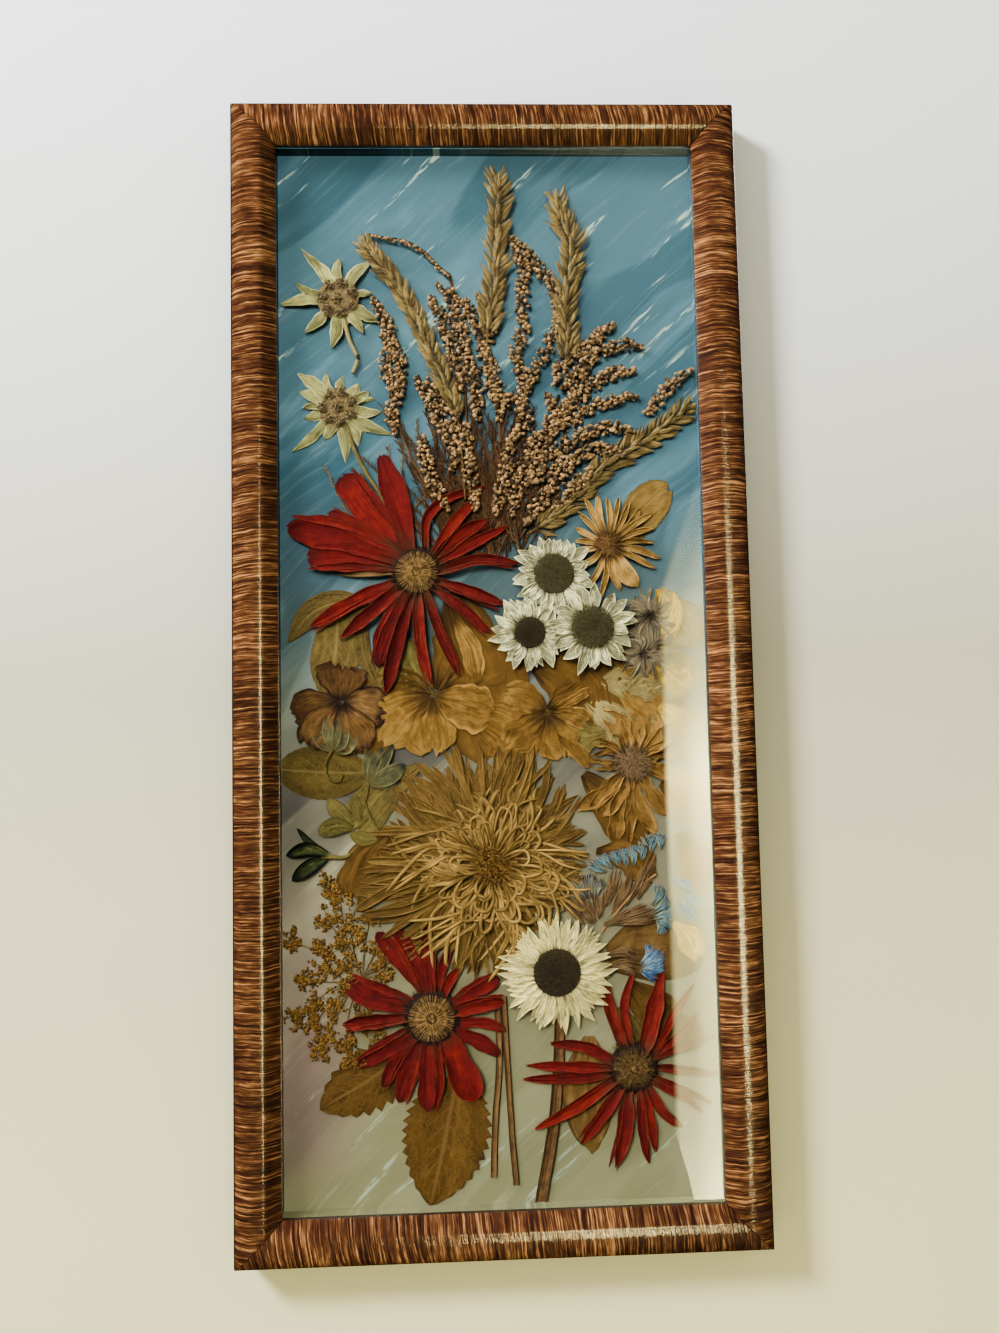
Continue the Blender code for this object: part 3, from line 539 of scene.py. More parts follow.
def dull_brass():
    made, r = new_material("dull_brass")
    tarnish = r.noise(r.point(), (160, 160, 160), 5.0, 0.65)
    colour = r.ramp(tarnish, ((0.35, (0.30, 0.22, 0.11)), (0.65, (0.62, 0.50, 0.27))))
    rough = r.band(tarnish, 0.3, 0.7, 0.5, 0.28)
    scratch = r.noise(r.point(), (60, 900, 1400), 2.0)
    r.principled(Base_Color=colour, Roughness=rough, Metallic=1.0, Normal=r.bump(scratch, 0.12, 0.05))
    return made


def finish_stack():
    """The pieces of the stack keep their own solids and take a finish. The spacers are painted with the
    board."""
    ground = painted_board()
    for node, finish in (
        ("glass_pane", clear_glass()), ("painted_board", ground), ("backing_board", hardboard()),
        ("sawtooth_hanger", dull_brass()), *((spacer, ground) for spacer in SPACERS),
    ):
        piece = frame["nodes"][node]
        piece.data.materials.clear()
        piece.data.materials.append(finish)
        if node.startswith(("painted", "spacer")):
            UNDER_GLASS.append(piece)


# ---- Effects that several finishes share ----

def new_group(name, **sockets):
    """An empty node group, with its recipe and the sockets of its inputs and outputs. The sockets' names
    are given for each kind, those of the inputs first."""
    tree = bpy.data.node_groups.new(name, "ShaderNodeTree")
    for kind, sides in sockets.items():
        for side, labels in zip(("INPUT", "OUTPUT"), sides):
            for label in labels.split(", ") if labels else ():
                tree.interface.new_socket(name=label, in_out=side, socket_type="NodeSocket" + kind)
    given = tree.nodes.new("NodeGroupInput").outputs
    result = tree.nodes.new("NodeGroupOutput").inputs
    return tree, Recipe(tree), given, result


def make_tissue_group():
    """Dried tissue: a colour that drifts from dark to light, with fibres along the sheet, and with other
    colours at its edges, base and tip."""
    tree, r, given, result = new_group(
        "dried_tissue", Vector=("Sheet, Point", ""), Color=("Dark, Middle, Light, Edge, Base, Tip", "Colour"),
        Float=("Tone, Lines, Mottle, Edge Start, Base Reach, Tip Reach", "Height, Blotch"),
    )
    parts = r.parts(given["Sheet"])
    along = parts["X"]
    across = r.math("ABSOLUTE", r.fit(parts["Y"], 2.0, -1.0))
    shift = r.times(given["Tone"], 37.0)
    ribs = r.node("CombineXYZ", {
        "X": r.times(along, 3.0), "Y": r.times(parts["Y"], given["Lines"]), "Z": shift,
    }).outputs[0]
    fibre = r.noise(ribs, 1.0, 3.0, 0.65)
    blotch = r.noise(given["Point"], given["Mottle"], 4.0, 0.62)
    level = r.fit(fibre, 0.55, r.times(blotch, 0.45))
    level = r.fit(r.less(given["Tone"], 0.5), 0.16, level)
    colour = r.mix(r.band(level, 0.36, 0.50), given["Dark"], given["Middle"])
    colour = r.mix(r.band(level, 0.50, 0.66), colour, given["Light"])
    wander = r.fit(blotch, 0.5, -0.25)
    rim_from = r.less(given["Edge Start"], wander)
    rim = r.math("DIVIDE", r.less(across, rim_from), 0.16, 0.0)
    colour = r.mix(r.band(rim, 0.0, 1.0), colour, given["Edge"])
    strayed = r.fit(r.less(fibre, 0.5), 0.5, along)
    base = r.less(1.0, r.math("DIVIDE", strayed, given["Base Reach"]))
    colour = r.mix(r.band(base, 0.0, 0.8), colour, given["Base"])
    tip = r.less(1.0, r.math("DIVIDE", r.less(1.0, strayed), given["Tip Reach"]))
    colour = r.mix(r.band(tip, 0.0, 0.8), colour, given["Tip"])
    r.feed(result["Colour"], colour)
    r.feed(result["Height"], r.fit(fibre, 0.7, r.times(blotch, 0.5)))
    r.feed(result["Blotch"], blotch)
    return tree


def make_vein_group():
    """The veins of a leaf: a midrib, side veins that lean towards the tip, and a fine net between them."""
    tree, r, given, result = new_group(
        "leaf_veins", Vector=("Sheet, Point", ""), Float=("Pairs, Lean, Net", "Veins, Net"),
    )
    parts = r.parts(given["Sheet"])
    across = r.math("ABSOLUTE", r.fit(parts["Y"], 2.0, -1.0))
    bent = r.times(r.math("POWER", across, 1.3), given["Lean"])
    phase = r.times(r.less(parts["X"], bent), given["Pairs"])
    away = r.math("ABSOLUTE", r.less(r.math("FRACT", phase), 0.5))
    side = r.band(r.fit(across, 0.05, away), 0.10, 0.02)
    midrib = r.band(across, 0.09, 0.02)
    cell = r.cells(given["Point"], given["Net"], "DISTANCE_TO_EDGE")
    r.feed(result["Veins"], r.math("MAXIMUM", midrib, r.times(side, 0.8)))
    r.feed(result["Net"], r.band(cell, 0.10, 0.02))
    return tree


def make_grain_group():
    """The drift of colour over small solid bits, such as seeds and bristles."""
    tree, r, given, result = new_group(
        "dried_grain", Vector=("Point", ""), Color=("Dark, Light", "Colour"), Float=("Tone, Scale", "Height"),
    )
    speckle = r.noise(given["Point"], given["Scale"], 3.0, 0.6)
    level = r.fit(given["Tone"], 0.6, r.fit(speckle, 0.8, -0.2))
    r.feed(result["Colour"], r.mix(r.band(level, 0.15, 0.85), given["Dark"], given["Light"]))
    r.feed(result["Height"], speckle)
    return tree


TISSUE = make_tissue_group()
VEINS = make_vein_group()
GRAIN = make_grain_group()


def tissue(name, dark, middle, light, edge=None, base=None, tip=None, lines=26, mottle=160, edge_start=0.8,
           base_reach=0.3, tip_reach=0.15, veins=None, rough=(0.72, 0.5), relief=0.5, sheen=0.0, gloss=0.0):
    """A finish for dried petals and leaves, in colours as seen. Veins are a leaf's pairs, lean, colour and
    strength. An edge, a base or a tip that isn't given is as the middle."""
    made, r = new_material(name)
    sheet, point = r.uv(), r.point()
    looks = r.effect(TISSUE, {
        "Sheet": sheet, "Point": point, "Tone": r.tone(), "Dark": paint(*dark), "Middle": paint(*middle),
        "Light": paint(*light), "Edge": paint(*(edge or middle)), "Base": paint(*(base or middle)),
        "Tip": paint(*(tip or middle)), "Lines": lines, "Mottle": mottle,
        "Edge Start": edge_start if edge else 2.0, "Base Reach": base_reach if base else 0.01,
        "Tip Reach": tip_reach if tip else 0.01,
    })
    colour, height = looks["Colour"], looks["Height"]
    if veins:
        pairs, lean, vein_colour, strength = veins
        vein_colour = paint(*vein_colour)
        ribs = r.effect(VEINS, {"Sheet": sheet, "Point": point, "Pairs": pairs, "Lean": lean, "Net": 420.0})
        colour = r.mix(r.times(ribs["Net"], 0.35 * strength), colour, vein_colour)
        colour = r.mix(r.times(ribs["Veins"], strength), colour, vein_colour)
        height = r.fit(ribs["Veins"], 0.9, height)
        height = r.fit(ribs["Net"], 0.2, height)
    r.principled(Base_Color=colour, Roughness=r.band(looks["Blotch"], 0.35, 0.65, *rough),
                 Specular_IOR_Level=gloss, Sheen_Weight=sheen, Normal=r.bump(height, relief, 0.22))
    return made


def grain(name, dark, light, scale=900.0, rough=0.6, relief=0.4, sheen=0.0, gloss=0.0):
    """A finish for seeds, bristles, stalks and wool, in colours as seen."""
    made, r = new_material(name)
    looks = r.effect(GRAIN, {
        "Point": r.point(), "Tone": r.tone(), "Dark": paint(*dark), "Light": paint(*light), "Scale": scale,
    })
    shade = r.band(looks["Height"], 0.3, 0.7, rough + 0.1, rough - 0.1)
    r.principled(Base_Color=looks["Colour"], Roughness=shade, Specular_IOR_Level=gloss, Sheen_Weight=sheen,
                 Normal=r.bump(looks["Height"], relief, 0.12))
    return made


# ---- Making pressed things ----

def at(value, *way):
    """A measure that is a number, or a function of the way along a piece."""
    return value(*way) if callable(value) else value


def stations(points, count):
    """Evenly spaced places on the smooth curve through the points, each with the direction there."""
    fine = 8  # steps between two points
    points = [Vector(point) for point in points]
    padded = [2 * points[0] - points[1], *points, 2 * points[-1] - points[-2]]
    dense = []
    for a, b, c, d in zip(padded, padded[1:], padded[2:], padded[3:]):
        for step in range(fine):
            t = step / fine
            bend = (2 * a - 5 * b + 4 * c - d) * t * t + (3 * b - a - 3 * c + d) * t * t * t
            dense.append(b + 0.5 * ((c - a) * t + bend))
    dense.append(points[-1])
    spans = [(b - a).length for a, b in zip(dense, dense[1:])]
    found, at_span, passed = [], 0, 0.0
    for i in range(count + 1):
        wanted = sum(spans) * i / count
        while at_span < len(spans) - 1 and passed + spans[at_span] < wanted:
            passed += spans[at_span]
            at_span += 1
        share = min(1.0, (wanted - passed) / max(spans[at_span], 1e-9))
        a, b = dense[at_span], dense[at_span + 1]
        found.append((a.lerp(b, share), (b - a).normalized()))
    return found


def lance(width, widest=0.5, base=0.3, blunt=0.8, tip=0.0):
    """The half width of a blade along it. Base and tip are shares of the width, and a low blunt rounds
    the tip."""
    def half(u):
        if u < widest:
            return width / 2 * (base + (1 - base) * sin(u / widest * pi / 2))
        fall = (u - widest) / (1 - widest)
        return width / 2 * max(tip, max(0.0, 1 - fall * fall) ** blunt)
    return half


def slope(start, end, swell=0.0):
    """A depth that runs from one value to another, and swells between them."""
    return lambda u: start + (end - start) * u + swell * sin(pi * u)


def layer(number):
    """The depth of a layer of pressed pieces. Layer 0 rests on the board."""
    return BOARD + 0.3 + 0.8 * number


def crumple(dice, size=0.3, along=2.5, across=2.0, curl=0.0, ridge=0.0):
    """The uneven lie of a dried sheet: soft folds, edges that curl up and a ridge along the middle."""
    shift = Vector([dice(0, 50) for _ in range(3)])

    def relief(u, v):
        fold = noise.noise(shift + Vector((u * along, v * across, 0)))
        return size * fold + curl * v * v + ridge * (1 - abs(v))
    return relief


def uneven_tip(dice, waves=1.2, notch=0.0, across=2.5):
    """A broad tip with soft waves, and with a notch in its middle."""
    shift = Vector((dice(0, 50), 0, 0))

    def torn(u, v):
        wave = 2 * waves * noise.noise(shift + Vector((0, v * across, 0)))
        return u ** 4 * (wave - notch * exp(-(v / 0.25) ** 2))
    return torn


def ragged(dice, half, size=0.1, waves=6.0):
    """An outline that wanders in and out along the blade."""
    shift = Vector((dice(0, 50), 0, 0))
    return lambda u: half(u) * (1 + 2 * size * noise.noise(shift + Vector((u * waves, 0, 0))))


def toothed(half, teeth, size):
    """A leaf's outline with teeth that lean towards its tip."""
    return lambda u: half(u) * (1 - size * (1 - (u * teeth) % 1.0))


def swirl(count, radius):
    """Places packed in a spiral over a disc, as (x, z) and the share of the radius."""
    for i in range(count):
        share = sqrt((i + 0.5) / count)
        angle = i * radians(137.508)
        yield radius * share * cos(angle), radius * share * sin(angle), share


def heading(angle):
    """The way in the picture's plane that is turned left from +X by so many radians."""
    return Vector((cos(angle), sin(angle)))


def lying(line, depth):
    """The line's (x, z) points, at one depth."""
    return [(x, z, depth) for x, z in line]


def world(spot):
    """An (x, z, depth) place in millimetres as a point of the scene."""
    return Vector((spot[0], -spot[2], spot[1])) * MM


class Dice(random.Random):
    """Random draws. Called with two values, it draws one between them."""

    def __call__(self, low, high):
        return self.uniform(low, high)


class Pressed:
    """A specimen in the making: thin sheets, which get their thickness at the end, and solid bits."""

    FULL_ENOUGH = 3000  # corners, past which the solid bits are put aside, to keep the making quick
    ROUND_STEPS = 28  # of a turned form

    def __init__(self, name, slot, finishes, nodes=None, thick=0.14):
        self.name, self.slot, self.finishes, self.nodes, self.thick = name, slot, finishes, nodes, thick
        self.dice = Dice(name)
        self.thin = self.started()
        self.full = self.started()
        self.aside = []

    @staticmethod
    def started():
        bm = bmesh.new()
        bm.loops.layers.uv.new("sheet")
        bm.verts.layers.float.new("tone")
        return bm

    def mark(self, bm, verts, finish, tone=None):
        layer = bm.verts.layers.float["tone"]
        tone = self.dice.random() if tone is None else tone
        for vert in verts:
            vert[layer] = tone
            for face in vert.link_faces:
                face.material_index = finish
        if bm is self.full and len(bm.verts) > self.FULL_ENOUGH:
            self.put_aside()

    def put_aside(self):
        self.aside.append(as_mesh("aside", self.full))
        self.full = self.started()

    def sheet(self, line, half, depth, along=14, across=6, roll=0.0, relief=None, torn=None, finish=0):
        """A blade along a smooth line of (x, z) points. Half is its half width, depth its place above the
        wall and roll the half angle of its rolled section, each a number or a function of the way along.
        Relief and torn are functions of the way along and across: relief lifts the surface, and torn
        shifts it along the line."""
        made = bmesh.ops.create_grid(self.thin, x_segments=along, y_segments=across, size=0.5, calc_uvs=True)
        places = stations(line, along)
        for vert in made["verts"]:
            u, v = vert.co.x + 0.5, 2 * vert.co.y
            spot, way = places[round(u * along)]
            wide, bend = at(half, u), at(roll, u)
            out, rise = wide * v, 0.0
            if abs(bend) > 0.02:
                out = wide / bend * sin(bend * v)
                rise = wide / bend * (1 - cos(bend * v))
            if relief:
                rise += relief(u, v)
            if torn:
                spot = spot + way * torn(u, v)
            height = min(max(at(depth, u) + rise, REST), CEILING)
            vert.co = world((spot.x - way.y * out, spot.y + way.x * out, height))
        self.mark(self.thin, made["verts"], finish)

    def petal(self, centre, turn, reach, half, depth, start=0.0, bow=0.0, **more):
        """A blade that leaves a centre at an angle, from start to reach, and bows to its left."""
        way = heading(radians(turn))
        side = way.orthogonal()
        middle = Vector(centre)
        line = [middle + way * start, middle + way * (start + reach) / 2 + side * bow, middle + way * reach]
        self.sheet(line, half, depth, **more)

    def bead(self, spot, radii, finish=0, cuts=1):
        """A round bit at an (x, z, depth) place, with its radius or its radii along x, z and depth."""
        if not isinstance(radii, tuple):
            radii = (radii, radii, radii)
        size = Matrix.Diagonal((radii[0] * MM, radii[2] * MM, radii[1] * MM, 1.0))
        spin = Matrix.Rotation(self.dice.random() * tau, 4, "Y")
        matrix = Matrix.Translation(world(spot)) @ size @ spin
        made = bmesh.ops.create_icosphere(self.full, subdivisions=cuts, radius=1.0, matrix=matrix)
        self.mark(self.full, made["verts"], finish)

    def spike(self, start, end, thick, tip=0.03, sides=4, tone=None, finish=0):
        """A straight bristle between two (x, z, depth) places, with its radius at each end."""
        a, b = world(start), world(end)
        turn = (b - a).to_track_quat("Z", "Y").to_matrix().to_4x4()
        made = bmesh.ops.create_cone(
            self.full, cap_ends=True, segments=sides, radius1=thick * MM, radius2=tip * MM,
            depth=(b - a).length, matrix=Matrix.Translation((a + b) / 2) @ turn,
        )
        self.mark(self.full, made["verts"], finish, tone)

    def stalk(self, line, thick, count, sides=5, finish=1):
        """A round stalk along a smooth line of (x, z, depth) points, most often in the second finish. Thick
        is its radius along it."""
        bm = self.full
        rings = []
        for i, (spot, way) in enumerate(stations([world(point) for point in line], count)):
            turn = way.to_track_quat("Z", "Y").to_matrix().to_4x4()
            radius = max(at(thick, i / count), 0.02) * MM
            rings.append(Matrix.Translation(spot) @ turn @ Matrix.Scale(radius, 4))
        verts = bmesh.ops.create_circle(
            bm, cap_ends=True, segments=sides, radius=1.0, matrix=rings[0],
        )["verts"]
        face = verts[0].link_faces[0]
        everything = list(verts)
        for last, ring in zip(rings, rings[1:]):
            made = bmesh.ops.extrude_face_region(bm, geom=[face])
            moved = corners(made)
            face = next(item for item in made["geom"] if isinstance(item, BMFace))
            bmesh.ops.transform(bm, matrix=ring @ last.inverted(), verts=moved)
            everything += moved
        self.mark(bm, everything, finish)

    def turned(self, centre, profile, finish):
        """A round form about an axis towards the viewer: a profile of (radius, depth) points."""
        self.put_aside()
        x, z = centre
        points = [self.full.verts.new(world((x + radius, z, depth))) for radius, depth in profile]
        edges = [self.full.edges.new(pair) for pair in zip(points, points[1:])]
        bmesh.ops.spin(self.full, geom=points + edges, cent=world((x, z, 0)), axis=(0, 1, 0), angle=tau,
                       steps=self.ROUND_STEPS, use_merge=True)
        self.mark(self.full, self.full.verts, finish, 0.5)
        self.put_aside()

    def done(self):
        """Joins the bits, gives the sheets their thickness and makes the specimen's object."""
        self.put_aside()
        bm = self.thin
        bmesh.ops.remove_doubles(bm, verts=bm.verts, dist=0.003 * MM)
        made = bmesh.ops.extrude_face_region(bm, geom=bm.faces[:], use_keep_orig=True)
        bm.normal_update()
        for vert in corners(made):
            vert.co -= vert.normal * self.thick * MM
        bmesh.ops.recalc_face_normals(bm, faces=bm.faces)
        solid = self.started()
        for mesh in self.aside:
            solid.from_mesh(mesh)
            bpy.data.meshes.remove(mesh)
        bmesh.ops.remove_doubles(solid, verts=solid.verts, dist=0.0005 * MM)
        bmesh.ops.recalc_face_normals(solid, faces=solid.faces)
        mesh = as_mesh("solid", solid)
        bm.from_mesh(mesh)
        bpy.data.meshes.remove(mesh)
        self.keep_inside(bm)
        piece = dress(self.name, bm, self.finishes, nodes=self.nodes, sharp=55)
        UNDER_GLASS.append(piece)
        return piece

    @staticmethod
    def keep_inside(bm):
        """Presses flat what would sink into the board, and trims what would run into the spacers."""
        for vert in bm.verts:
            vert.co.y = min(vert.co.y, -(BOARD + 0.02) * MM)
        for way, reach in (((1, 0, 0), INSIDE_HALF), ((-1, 0, 0), INSIDE_HALF), ((0, 0, 1), INSIDE_TOP),
                           ((0, 0, -1), -INSIDE_FOOT)):
            way = Vector(way)
            if max(vert.co.dot(way) for vert in bm.verts) <= reach * MM:
                continue
            cut = bmesh.ops.bisect_plane(bm, geom=bm.verts[:] + bm.edges[:] + bm.faces[:],
                                         plane_co=way * reach * MM, plane_no=way, clear_outer=True)
            rim = [item for item in cut["geom_cut"] if isinstance(item, BMEdge)]
            bmesh.ops.holes_fill(bm, edges=rim)


# ---- Flowers ----

CRIMSON, SCARLET, ROLLED, BACK, FRINGE, BRISTLE, HOLLOW = range(7)
HOW_ROLLED = {CRIMSON: 0.4, SCARLET: 1.0, ROLLED: 1.45, BACK: 1.2}
# The red daisies' petals: the width, how far along the petal is widest, its finish, and a line from the
# disc to the tip
UPPER_DAISY = (
    (12, 0.8, CRIMSON, (-35, -142.5), (-47.5, -128), (-58, -114)),
    (9.5, 0.6, CRIMSON, (-33, -142), (-36.5, -125.5), (-42.5, -106)),
    (6.5, 0.7, CRIMSON, (-37.5, -144), (-51.5, -135.5), (-63.5, -128.5)),
    (12.5, 0.62, CRIMSON, (-37.5, -146), (-55.5, -138.5), (-79.5, -134.5)),
    (2.5, 0.5, BACK, (-39, -152.5), (-49.5, -153), (-58.5, -153)),
    (11, 0.8, CRIMSON, (-38.5, -149), (-55.5, -146.5), (-71.5, -146)),
    (6, 0.6, SCARLET, (-37, -156), (-53.5, -163.5), (-71, -173)),
    (6, 0.5, SCARLET, (-36, -158.5), (-48.5, -169), (-59, -177.5)),
    (6.5, 0.6, CRIMSON, (-34.5, -161.5), (-42, -175), (-45, -189)),
    (7, 0.65, ROLLED, (-32, -162.5), (-38, -182.5), (-42, -199.5)),
    (5.5, 0.4, ROLLED, (-29, -162.5), (-28.5, -179), (-24.5, -196)),
    (5.5, 0.5, ROLLED, (-25.5, -161.5), (-21, -176), (-14, -193)),
    (6.5, 0.6, ROLLED, (-20.5, -156.5), (-8, -161), (4, -165.5)),
    (5.5, 0.6, ROLLED, (-21.5, -160), (-10.5, -168.5), (-1.5, -176.5)),
    (5.5, 0.5, ROLLED, (-20.5, -152.5), (-5.5, -148), (10, -149.5)),
    (6, 0.6, SCARLET, (-21, -146), (-11, -137.5), (-1.5, -132)),
    (4.5, 0.6, SCARLET, (-20.5, -148.5), (-5.5, -140.5), (6, -135)),
    (4.5, 0.6, SCARLET, (-22.5, -144.5), (-14, -132.5), (-4.5, -123)),
    (4, 0.4, SCARLET, (-26, -143), (-25, -131), (-15.5, -123), (-1.5, -119)),
)
LEFT_DAISY = (
    (6, 0.8, CRIMSON, (-29, -314), (-37.5, -302), (-47, -290.5)),
    (6, 0.8, CRIMSON, (-29, -314), (-33.5, -302), (-39, -290)),
    (5.5, 0.5, CRIMSON, (-27, -313.5), (-27.5, -301.5), (-27.5, -290)),
    (4, 0.5, SCARLET, (-25, -313.5), (-22, -304), (-18, -296)),
    (4, 0.6, SCARLET, (-22, -314.5), (-19.5, -309.5), (-16, -305)),
    (6.5, 0.8, ROLLED, (-37.5, -322.5), (-49, -323.5), (-59.5, -324.5)),
    (10, 0.65, CRIMSON, (-36.5, -317.5), (-48, -314), (-58.5, -309.5)),
    (7, 0.5, CRIMSON, (-36, -329), (-45.5, -334.5), (-54, -340.5)),
    (5.5, 0.5, CRIMSON, (-34.5, -331), (-41, -340), (-45.5, -348)),
    (7.5, 0.5, CRIMSON, (-32, -332.5), (-35.5, -343), (-39.5, -354)),
    (4, 0.6, ROLLED, (-24.5, -333.5), (-23.5, -346.5), (-25.5, -357.5)),
    (6.5, 0.7, CRIMSON, (-28, -333.5), (-28.5, -345.5), (-29, -357.5)),
    (12.5, 0.75, SCARLET, (-20, -331.5), (-15, -343.5), (-10, -354)),
    (5.5, 0.5, CRIMSON, (-17.5, -328.5), (-9, -332), (-1, -337.5)),
    (6.5, 0.7, CRIMSON, (-17, -317.5), (-9.5, -312.5), (-0.5, -309)),
    (4, 0.6, CRIMSON, (-16.5, -325), (-6.5, -325.5), (2, -329)),
    (6.5, 0.6, SCARLET, (-16.5, -320.5), (-7.5, -318.5), (1.5, -318)),
)
RIGHT_DAISY = (
    (5.5, 0.45, ROLLED, (46.5, -336), (42, -323), (40.5, -311)),
    (4, 0.35, ROLLED, (49, -335.5), (47, -320.5), (51.5, -306.5)),
    (8, 0.4, ROLLED, (54.5, -336), (58, -323), (62, -308.5)),
    (3.5, 0.5, SCARLET, (58.5, -338), (66.5, -324), (74, -314)),
    (3, 0.5, SCARLET, (59.5, -338.5), (68.5, -331.5), (75.5, -324.5)),
    (3, 0.5, SCARLET, (59.5, -340), (72, -335.5), (81.5, -333)),
    (3.5, 0.4, ROLLED, (59.5, -344), (71.5, -345.5), (83, -347.5)),
    (3, 0.5, SCARLET, (59, -348), (70.5, -353.5), (79.5, -358)),
    (3, 0.5, SCARLET, (58.5, -350), (69, -355.5), (76, -361.5)),
    (4.5, 0.5, ROLLED, (56, -352.5), (61, -361), (68.5, -367)),
    (4, 0.5, SCARLET, (54, -353.5), (56, -365), (57.5, -375.5)),
    (4, 0.6, SCARLET, (52, -353), (53, -369), (55, -379.5)),
    (7, 0.45, ROLLED, (47.5, -353), (45.5, -368.5), (42.5, -381)),
    (5.5, 0.5, SCARLET, (44.5, -351.5), (37, -361.5), (29.5, -371.5)),
    (5.5, 0.4, SCARLET, (41.5, -348.5), (27.5, -357.5), (12, -365.5)),
    (4.5, 0.5, SCARLET, (41, -346), (24, -347), (8, -347)),
    (4.5, 0.5, SCARLET, (41, -343.5), (24.5, -342.5), (10, -342)),
    (5, 0.5, SCARLET, (42, -341), (32, -335.5), (18.5, -334)),
)


def red_daisy_finishes():
    return [
        tissue("crimson_petal", (86, 12, 7), (122, 20, 12), (148, 38, 24), edge=(130, 44, 26),
               base=(96, 44, 26), edge_start=0.88, lines=24, tip=(104, 18, 12), mottle=260),
        tissue("scarlet_petal", (90, 13, 7), (130, 24, 14), (158, 48, 28), edge=(146, 66, 40),
               base=(104, 56, 32), edge_start=0.84, lines=22, mottle=260),
        tissue("rolled_red_petal", (96, 16, 9), (130, 28, 17), (156, 54, 34), edge=(150, 78, 50),
               base=(108, 62, 38), edge_start=0.87, lines=20, mottle=260),
        tissue("petal_back", (112, 80, 44), (150, 118, 74), (184, 154, 106)),
        grain("disc_fringe", (30, 20, 14), (66, 46, 30)),
        grain("disc_bristle", (98, 72, 34), (184, 154, 94)),
        grain("disc_hollow", (58, 40, 22), (134, 104, 60)),
    ]


def red_daisy(name, finishes, middle, radius, low, petals, rough_disc=0.0):
    """Red petals around a gold disc of bristles with a dark fringe."""
    flower = Pressed(name, "red_petals", finishes, thick=0.16)
    dice = flower.dice
    for i, (width, widest, finish, *line) in enumerate(petals):
        inside = Vector(middle).lerp(Vector(line[0]), 0.55)
        rise = 0.22 * (i % 3)
        blunt = 0.42 if finish == CRIMSON else 0.62
        flower.sheet(
            [inside, *line], ragged(dice, lance(1.06 * width, widest, 0.45, blunt, 0.12), 0.11, 5.0),
            slope(low + 0.5 + rise, low - 0.3 + rise, 0.3), along=26, across=10,
            roll=HOW_ROLLED[finish] * dice(0.7, 1.1),
            relief=crumple(dice, 0.5, 3.4, 3.0, ridge=dice(-0.3, 0.3)),
            torn=uneven_tip(dice, dice(0.4, 1.2), dice(0, 1.2)), finish=finish,
        )
        # A fold or a strip that has come loose from the petal
        if width > 4.5 and dice.random() < 0.6:
            side = dice.choice((-1, 1)) * 0.3 * width
            points = [Vector(point) for point in line]
            across = (points[-1] - points[0]).orthogonal().normalized() * side
            run = [point + across * (0.6 + 0.4 * k) for k, point in enumerate(points)]
            flower.sheet(run, ragged(dice, lance(0.28 * width, 0.6, 0.3), 0.3, 6.0),
                         slope(low + 0.9 + rise, low + 0.1 + rise, 0.4), along=18, across=4, roll=1.0,
                         relief=crumple(dice, 0.4, 4.0), finish=finish if finish != CRIMSON else SCARLET)
    daisy_disc(flower, middle, radius, low, rough_disc)
    return flower.done()


def daisy_disc(flower, middle, radius, low, uneven):
    """A cushion of straw-gold bristles that fan out from a knob, with a dark fringe round them."""
    x, z = middle
    dice = flower.dice
    top = min(low + 2.4, CEILING - 0.3)
    flower.turned(middle, (
        (0, low - 0.4), (0.95 * radius, low - 0.4), (1.02 * radius, low + 0.5), (0.9 * radius, low + 1.2),
        (0.6 * radius, top - 0.35), (0.3 * radius, top - 0.3), (0.2 * radius, top - 0.6), (0, top - 0.7),
    ), finish=FRINGE)

    def ring(count, start, end, high, drop, thick, finish, spread=0.06):
        for i in range(count):
            angle = tau * (i + dice(-0.4, 0.4)) / count
            turn = angle + dice(-0.07, 0.07) * (1 + 2 * uneven)
            inner = radius * (start + dice(-spread, spread))
            outer = radius * (end + dice(-spread, spread) * (1 + uneven))
            a = (x + inner * cos(angle), z + inner * sin(angle), high)
            b = (x + outer * cos(turn), z + outer * sin(turn), high - drop)
            flower.spike(a, b, thick, 0.55 * thick, tone=dice.random() * (1 - 0.35 * uneven), finish=finish)
    ring(170, 0.80, 1.10, low + 1.3, 0.8, 0.14, FRINGE)
    ring(210, 0.46, 0.82, top - 0.15, top - low - 1.7, 0.11, BRISTLE, 0.03)
    ring(150, 0.20, 0.60, top, 0.15, 0.10, BRISTLE, 0.04)
    ring(50, 0.08, 0.24, top - 0.35, -0.25, 0.14, HOLLOW, 0.03)
    for px, pz, share in swirl(12, 0.12 * radius):
        flower.bead((x + px, z + pz, top - 0.25), 0.045 * radius, finish=BRISTLE)


def build_red_daisies():
    finishes = red_daisy_finishes()
    red_daisy("red_daisy_upper", finishes, (-29.5, -152.5), 9.9, layer(2), UPPER_DAISY)
    red_daisy("red_daisy_left", finishes, (-26.5, -323.0), 10.6, layer(1), LEFT_DAISY)
    red_daisy("red_daisy_right", finishes, (50.0, -344.0), 9.3, layer(1), RIGHT_DAISY, 1.5)


